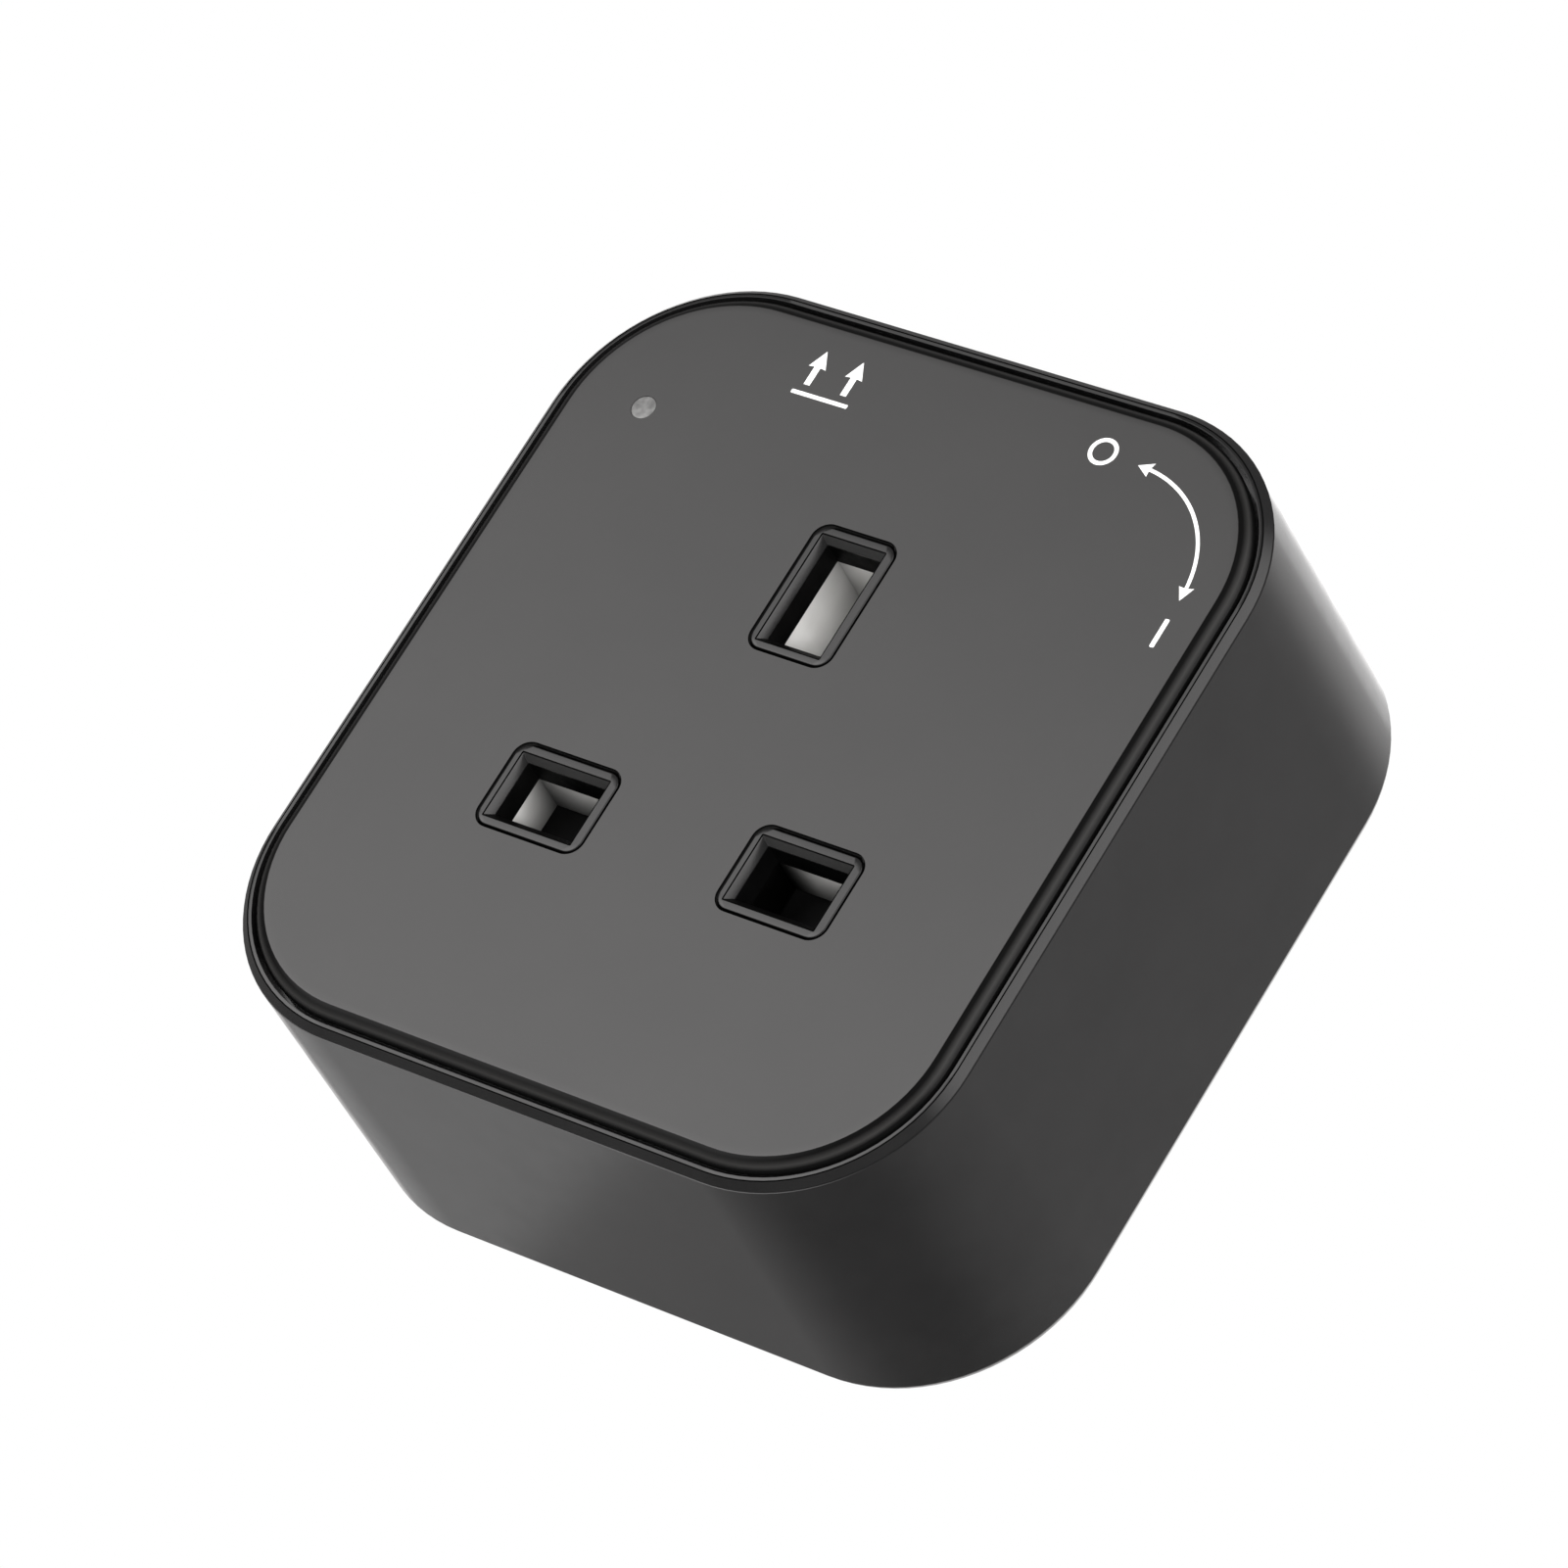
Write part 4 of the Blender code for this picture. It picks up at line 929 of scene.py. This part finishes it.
def arc_arrow_outline(center, radius, start, end, width, head, half_head):
    """A band round an arc, with an arrow head at each end; start and end are the tips' angles."""

    def polar(reach, angle):
        return (center[0] + reach * math.cos(angle), center[1] + reach * math.sin(angle))

    start, end = math.radians(start), math.radians(end)
    turn = head / radius
    first, last = start + turn, end - turn
    steps = 28
    angles = [first + (last - first) * i / steps for i in range(steps + 1)]
    outer = [polar(radius + width / 2, angle) for angle in angles]
    inner = [polar(radius - width / 2, angle) for angle in reversed(angles)]
    swept = 0.01  # how far the heads' corners lie back over the band
    end_head = [polar(radius + side * half_head, last - swept) for side in (1, -1)]
    end_head.insert(1, polar(radius, end))
    start_head = [polar(radius + side * half_head, first + swept) for side in (-1, 1)]
    start_head.insert(1, polar(radius, start))
    return outer + end_head + inner + start_head


def bar_outline(center, half_x, half_z):
    """A bar with round ends."""
    return outline(half_x, half_z, min(half_x, half_z) * 0.5, center, 3)


def marks():
    """White ink: this way up, and the quarter turn from off (ring) to on (bar)."""
    shapes = {
        "up_mark": [
            arrow_outline(-8.15, 27.0, 30.15, 0.27, 0.78, 1.5),
            arrow_outline(-11.55, 27.0, 30.15, 0.27, 0.78, 1.5),
            bar_outline((-9.85, 26.2), 2.6, 0.17),
        ],
        "turn_mark": [arc_arrow_outline((17.8, 19.4), 9.19, -1.4, 90.2, 0.29, 1.08, 0.62)],
        "off_mark": [circle((14.5, 28.85), 1.2, 40), circle((14.5, 28.85), 0.86, 40)],
        "on_mark": [bar_outline((27.0, 16.25), 0.19, 1.25)],
    }
    ink = ink_material()
    upright = Matrix.Rotation(math.radians(90), 4, "X")
    face = Matrix.Translation(at(0.0, (PLATE_FACE + INK_FACE) / 2, 0.0)) @ upright
    for name, outlines in shapes.items():
        curve = bpy.data.curves.new(name, "CURVE")
        curve.dimensions = "2D"
        curve.fill_mode = "BOTH"
        curve.extrude = (PLATE_FACE - INK_FACE) / 2 * MM
        for points in outlines:
            spline = curve.splines.new("POLY")
            spline.points.add(len(points) - 1)
            for point, (x, z) in zip(spline.points, points):
                point.co = (x * MM, z * MM, 0.0, 1.0)
            spline.use_cyclic_u = True
        flat = bpy.data.objects.new(name, curve)
        flat.matrix_world = face
        bpy.context.scene.collection.objects.link(flat)
        flat.data.materials.append(ink)
        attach(flat, "housing")


# ---------------------------------------------------------------------------- CAD nodes that stay


EDGES = {  # how far a node's edges are rounded
    "rear_cover": 0.15, "twist_head": 0.4, "track_seat": 0.35, "contact_carrier": 0.12,
    "shutter": 0.12, "control_board": 0.08, "radio_board": 0.08, "live_blade": 0.12,
    "neutral_blade": 0.12, "earth_blade": 0.12,
}
PLAIN_EDGE = 0.05


def carried_over():
    """Materials and small round edges for the CAD nodes that stay."""
    for name, obj in frame["nodes"].items():
        if obj.hide_render:
            continue
        made = MATERIALS[SLOT_OF[name]]
        if name == "shutter":
            made = SHUTTER_BLACK
        elif name.startswith("case_screw"):
            made = MATERIALS["screw"]
        paint(obj, made)
        if "wire" not in name:
            bevel(obj, EDGES.get(name, PLAIN_EDGE))
        even_normals(obj)


# ---------------------------------------------------------------------------- studio


BASE_LIGHT = 0.20
LIGHT_PATCHES = [  # direction, cosine where it starts, cosine where it is full, and its brightness
    ((-0.549, 0.767, 0.333), 0.93, 0.99, 0.85),
    ((-0.52, -0.85, -0.09), 0.80, 0.98, 3.3),
    ((0.80, -0.42, 0.50), 0.78, 0.98, 1.95),
    ((0.934, -0.122, 0.333), 0.85, 0.99, 1.1),
    ((0.60, 0.75, 0.33), 0.60, 1.0, 0.31),
    ((-0.766, 0.287, -0.575), 0.60, 0.95, 0.17),
    ((-0.22, 0.77, 0.60), 0.80, 1.0, 0.65),
    ((0.0, 1.0, 0.0), 0.80, 0.97, 1.0),
]
LIGHT_TINT = (1.0, 0.985, 0.983, 1.0)
WHITE = (1.0, 1.0, 1.0, 1.0)
BLACK = (0.0, 0.0, 0.0, 1.0)
LAMPS = [  # name, place, size, power, and whether the object reflects it
    ("key", (0.55, -0.85, -0.30), 0.5, 13.0, False),
    ("card_below", (-0.150, 0.095, -0.090), 0.12, 0.0135, True),
    ("card_above", (-0.012, 0.090, 0.122), 0.07, 0.007, True),
]
FLOOR_HALF, FLOOR_Z = 8.0, -0.7
CAMERA_AT = (0.3156, -0.4616, -0.1921)
CAMERA_RIGHT = (0.7912, 0.3477, 0.5031)
CAMERA_BACK = (0.5488, -0.7667, -0.3332)


def world_light():
    """White for the camera; for the object, a soft surround with a bright side and a dim one."""
    world = bpy.data.worlds.new("studio")
    world.use_nodes = True
    bpy.context.scene.world = world
    tree = world.node_tree
    background = tree.nodes["Background"]
    direction = tree.nodes.new("ShaderNodeTexCoord").outputs["Generated"]

    def lobe(toward, start, end, value):
        """A patch of light round a direction, from nothing at the start cosine to full at the end."""
        dot = tree.nodes.new("ShaderNodeVectorMath")
        dot.operation = "DOT_PRODUCT"
        dot.inputs[1].default_value = Vector(toward).normalized()
        tree.links.new(direction, dot.inputs[0])
        ranged = tree.nodes.new("ShaderNodeMapRange")
        ranged.interpolation_type = "SMOOTHSTEP"
        ranged.inputs["From Min"].default_value = start
        ranged.inputs["From Max"].default_value = end
        ranged.inputs["To Max"].default_value = value
        tree.links.new(dot.outputs["Value"], ranged.inputs["Value"])
        return ranged.outputs["Result"]

    def total(first, second):
        node = tree.nodes.new("ShaderNodeMath")
        node.operation = "ADD"
        for socket, source in zip(node.inputs, (first, second)):
            if isinstance(source, float):
                socket.default_value = source
            else:
                tree.links.new(source, socket)
        return node.outputs["Value"]

    light = BASE_LIGHT
    for patch in LIGHT_PATCHES:
        light = total(light, lobe(*patch))
    tint = tree.nodes.new("ShaderNodeMix")
    tint.data_type = "RGBA"
    tint.inputs["A"].default_value = BLACK
    tint.inputs["B"].default_value = LIGHT_TINT
    tint.clamp_factor = False
    tree.links.new(light, tint.inputs["Factor"])
    seen = tree.nodes.new("ShaderNodeMix")
    seen.data_type = "RGBA"
    seen.inputs["B"].default_value = WHITE
    tree.links.new(tint.outputs["Result"], seen.inputs["A"])
    path = tree.nodes.new("ShaderNodeLightPath")
    tree.links.new(path.outputs["Is Camera Ray"], seen.inputs["Factor"])
    tree.links.new(seen.outputs["Result"], background.inputs["Color"])


def soft_box(name, place, size, power, reflected):
    """An area light that faces the object, and may be seen reflected in it."""
    data = bpy.data.lights.new(name, "AREA")
    data.shape = "SQUARE"
    data.size = size
    data.energy = power
    lamp = bpy.data.objects.new(name, data)
    lamp.location = place
    lamp.rotation_euler = Vector(place).to_track_quat("Z", "Y").to_euler()
    lamp.visible_glossy = reflected
    lamp.visible_camera = False
    bpy.context.scene.collection.objects.link(lamp)


def floor():
    """A plain pale floor, well below the object."""
    built = bmesh.new()
    corners = [(-1, -1), (1, -1), (1, 1), (-1, 1)]
    built.faces.new([built.verts.new((x * FLOOR_HALF, y * FLOOR_HALF, FLOOR_Z)) for x, y in corners])
    ground = mesh_object("floor", built)
    made = Nodes("pale_floor")
    made.color(made.ranged(made.noise(0.002), 0.0, 1.0), (0.80, 0.80, 0.79), (0.84, 0.84, 0.83))
    made.set(Roughness=0.8)
    paint(ground, made.material)
    ground.visible_glossy = False


def camera():
    """A long lens, from below and to the right of the front, rolled to the left."""
    data = bpy.data.cameras.new("camera")
    data.sensor_width = 36.0
    data.lens = 180.07
    data.clip_start = 0.01
    eye = bpy.data.objects.new("camera", data)
    right = Vector(CAMERA_RIGHT).normalized()
    back = Vector(CAMERA_BACK)
    back = (back - right * back.dot(right)).normalized()
    turn = Matrix((right, back.cross(right), back)).transposed().to_4x4()
    eye.matrix_world = Matrix.Translation(CAMERA_AT) @ turn
    bpy.context.scene.collection.objects.link(eye)
    bpy.context.scene.camera = eye


housing_shell()
front_plate()
front_cover()
light_guide()
pin_guide()
shutter_spring()
relay()
film_capacitor()
transformer()
shield_can()
electrolytic()
varistor()
led()
marks()
carried_over()
world_light()
for lamp in LAMPS:
    soft_box(*lamp)
floor()
camera()
bpy.context.scene.view_settings.view_transform = "Standard"
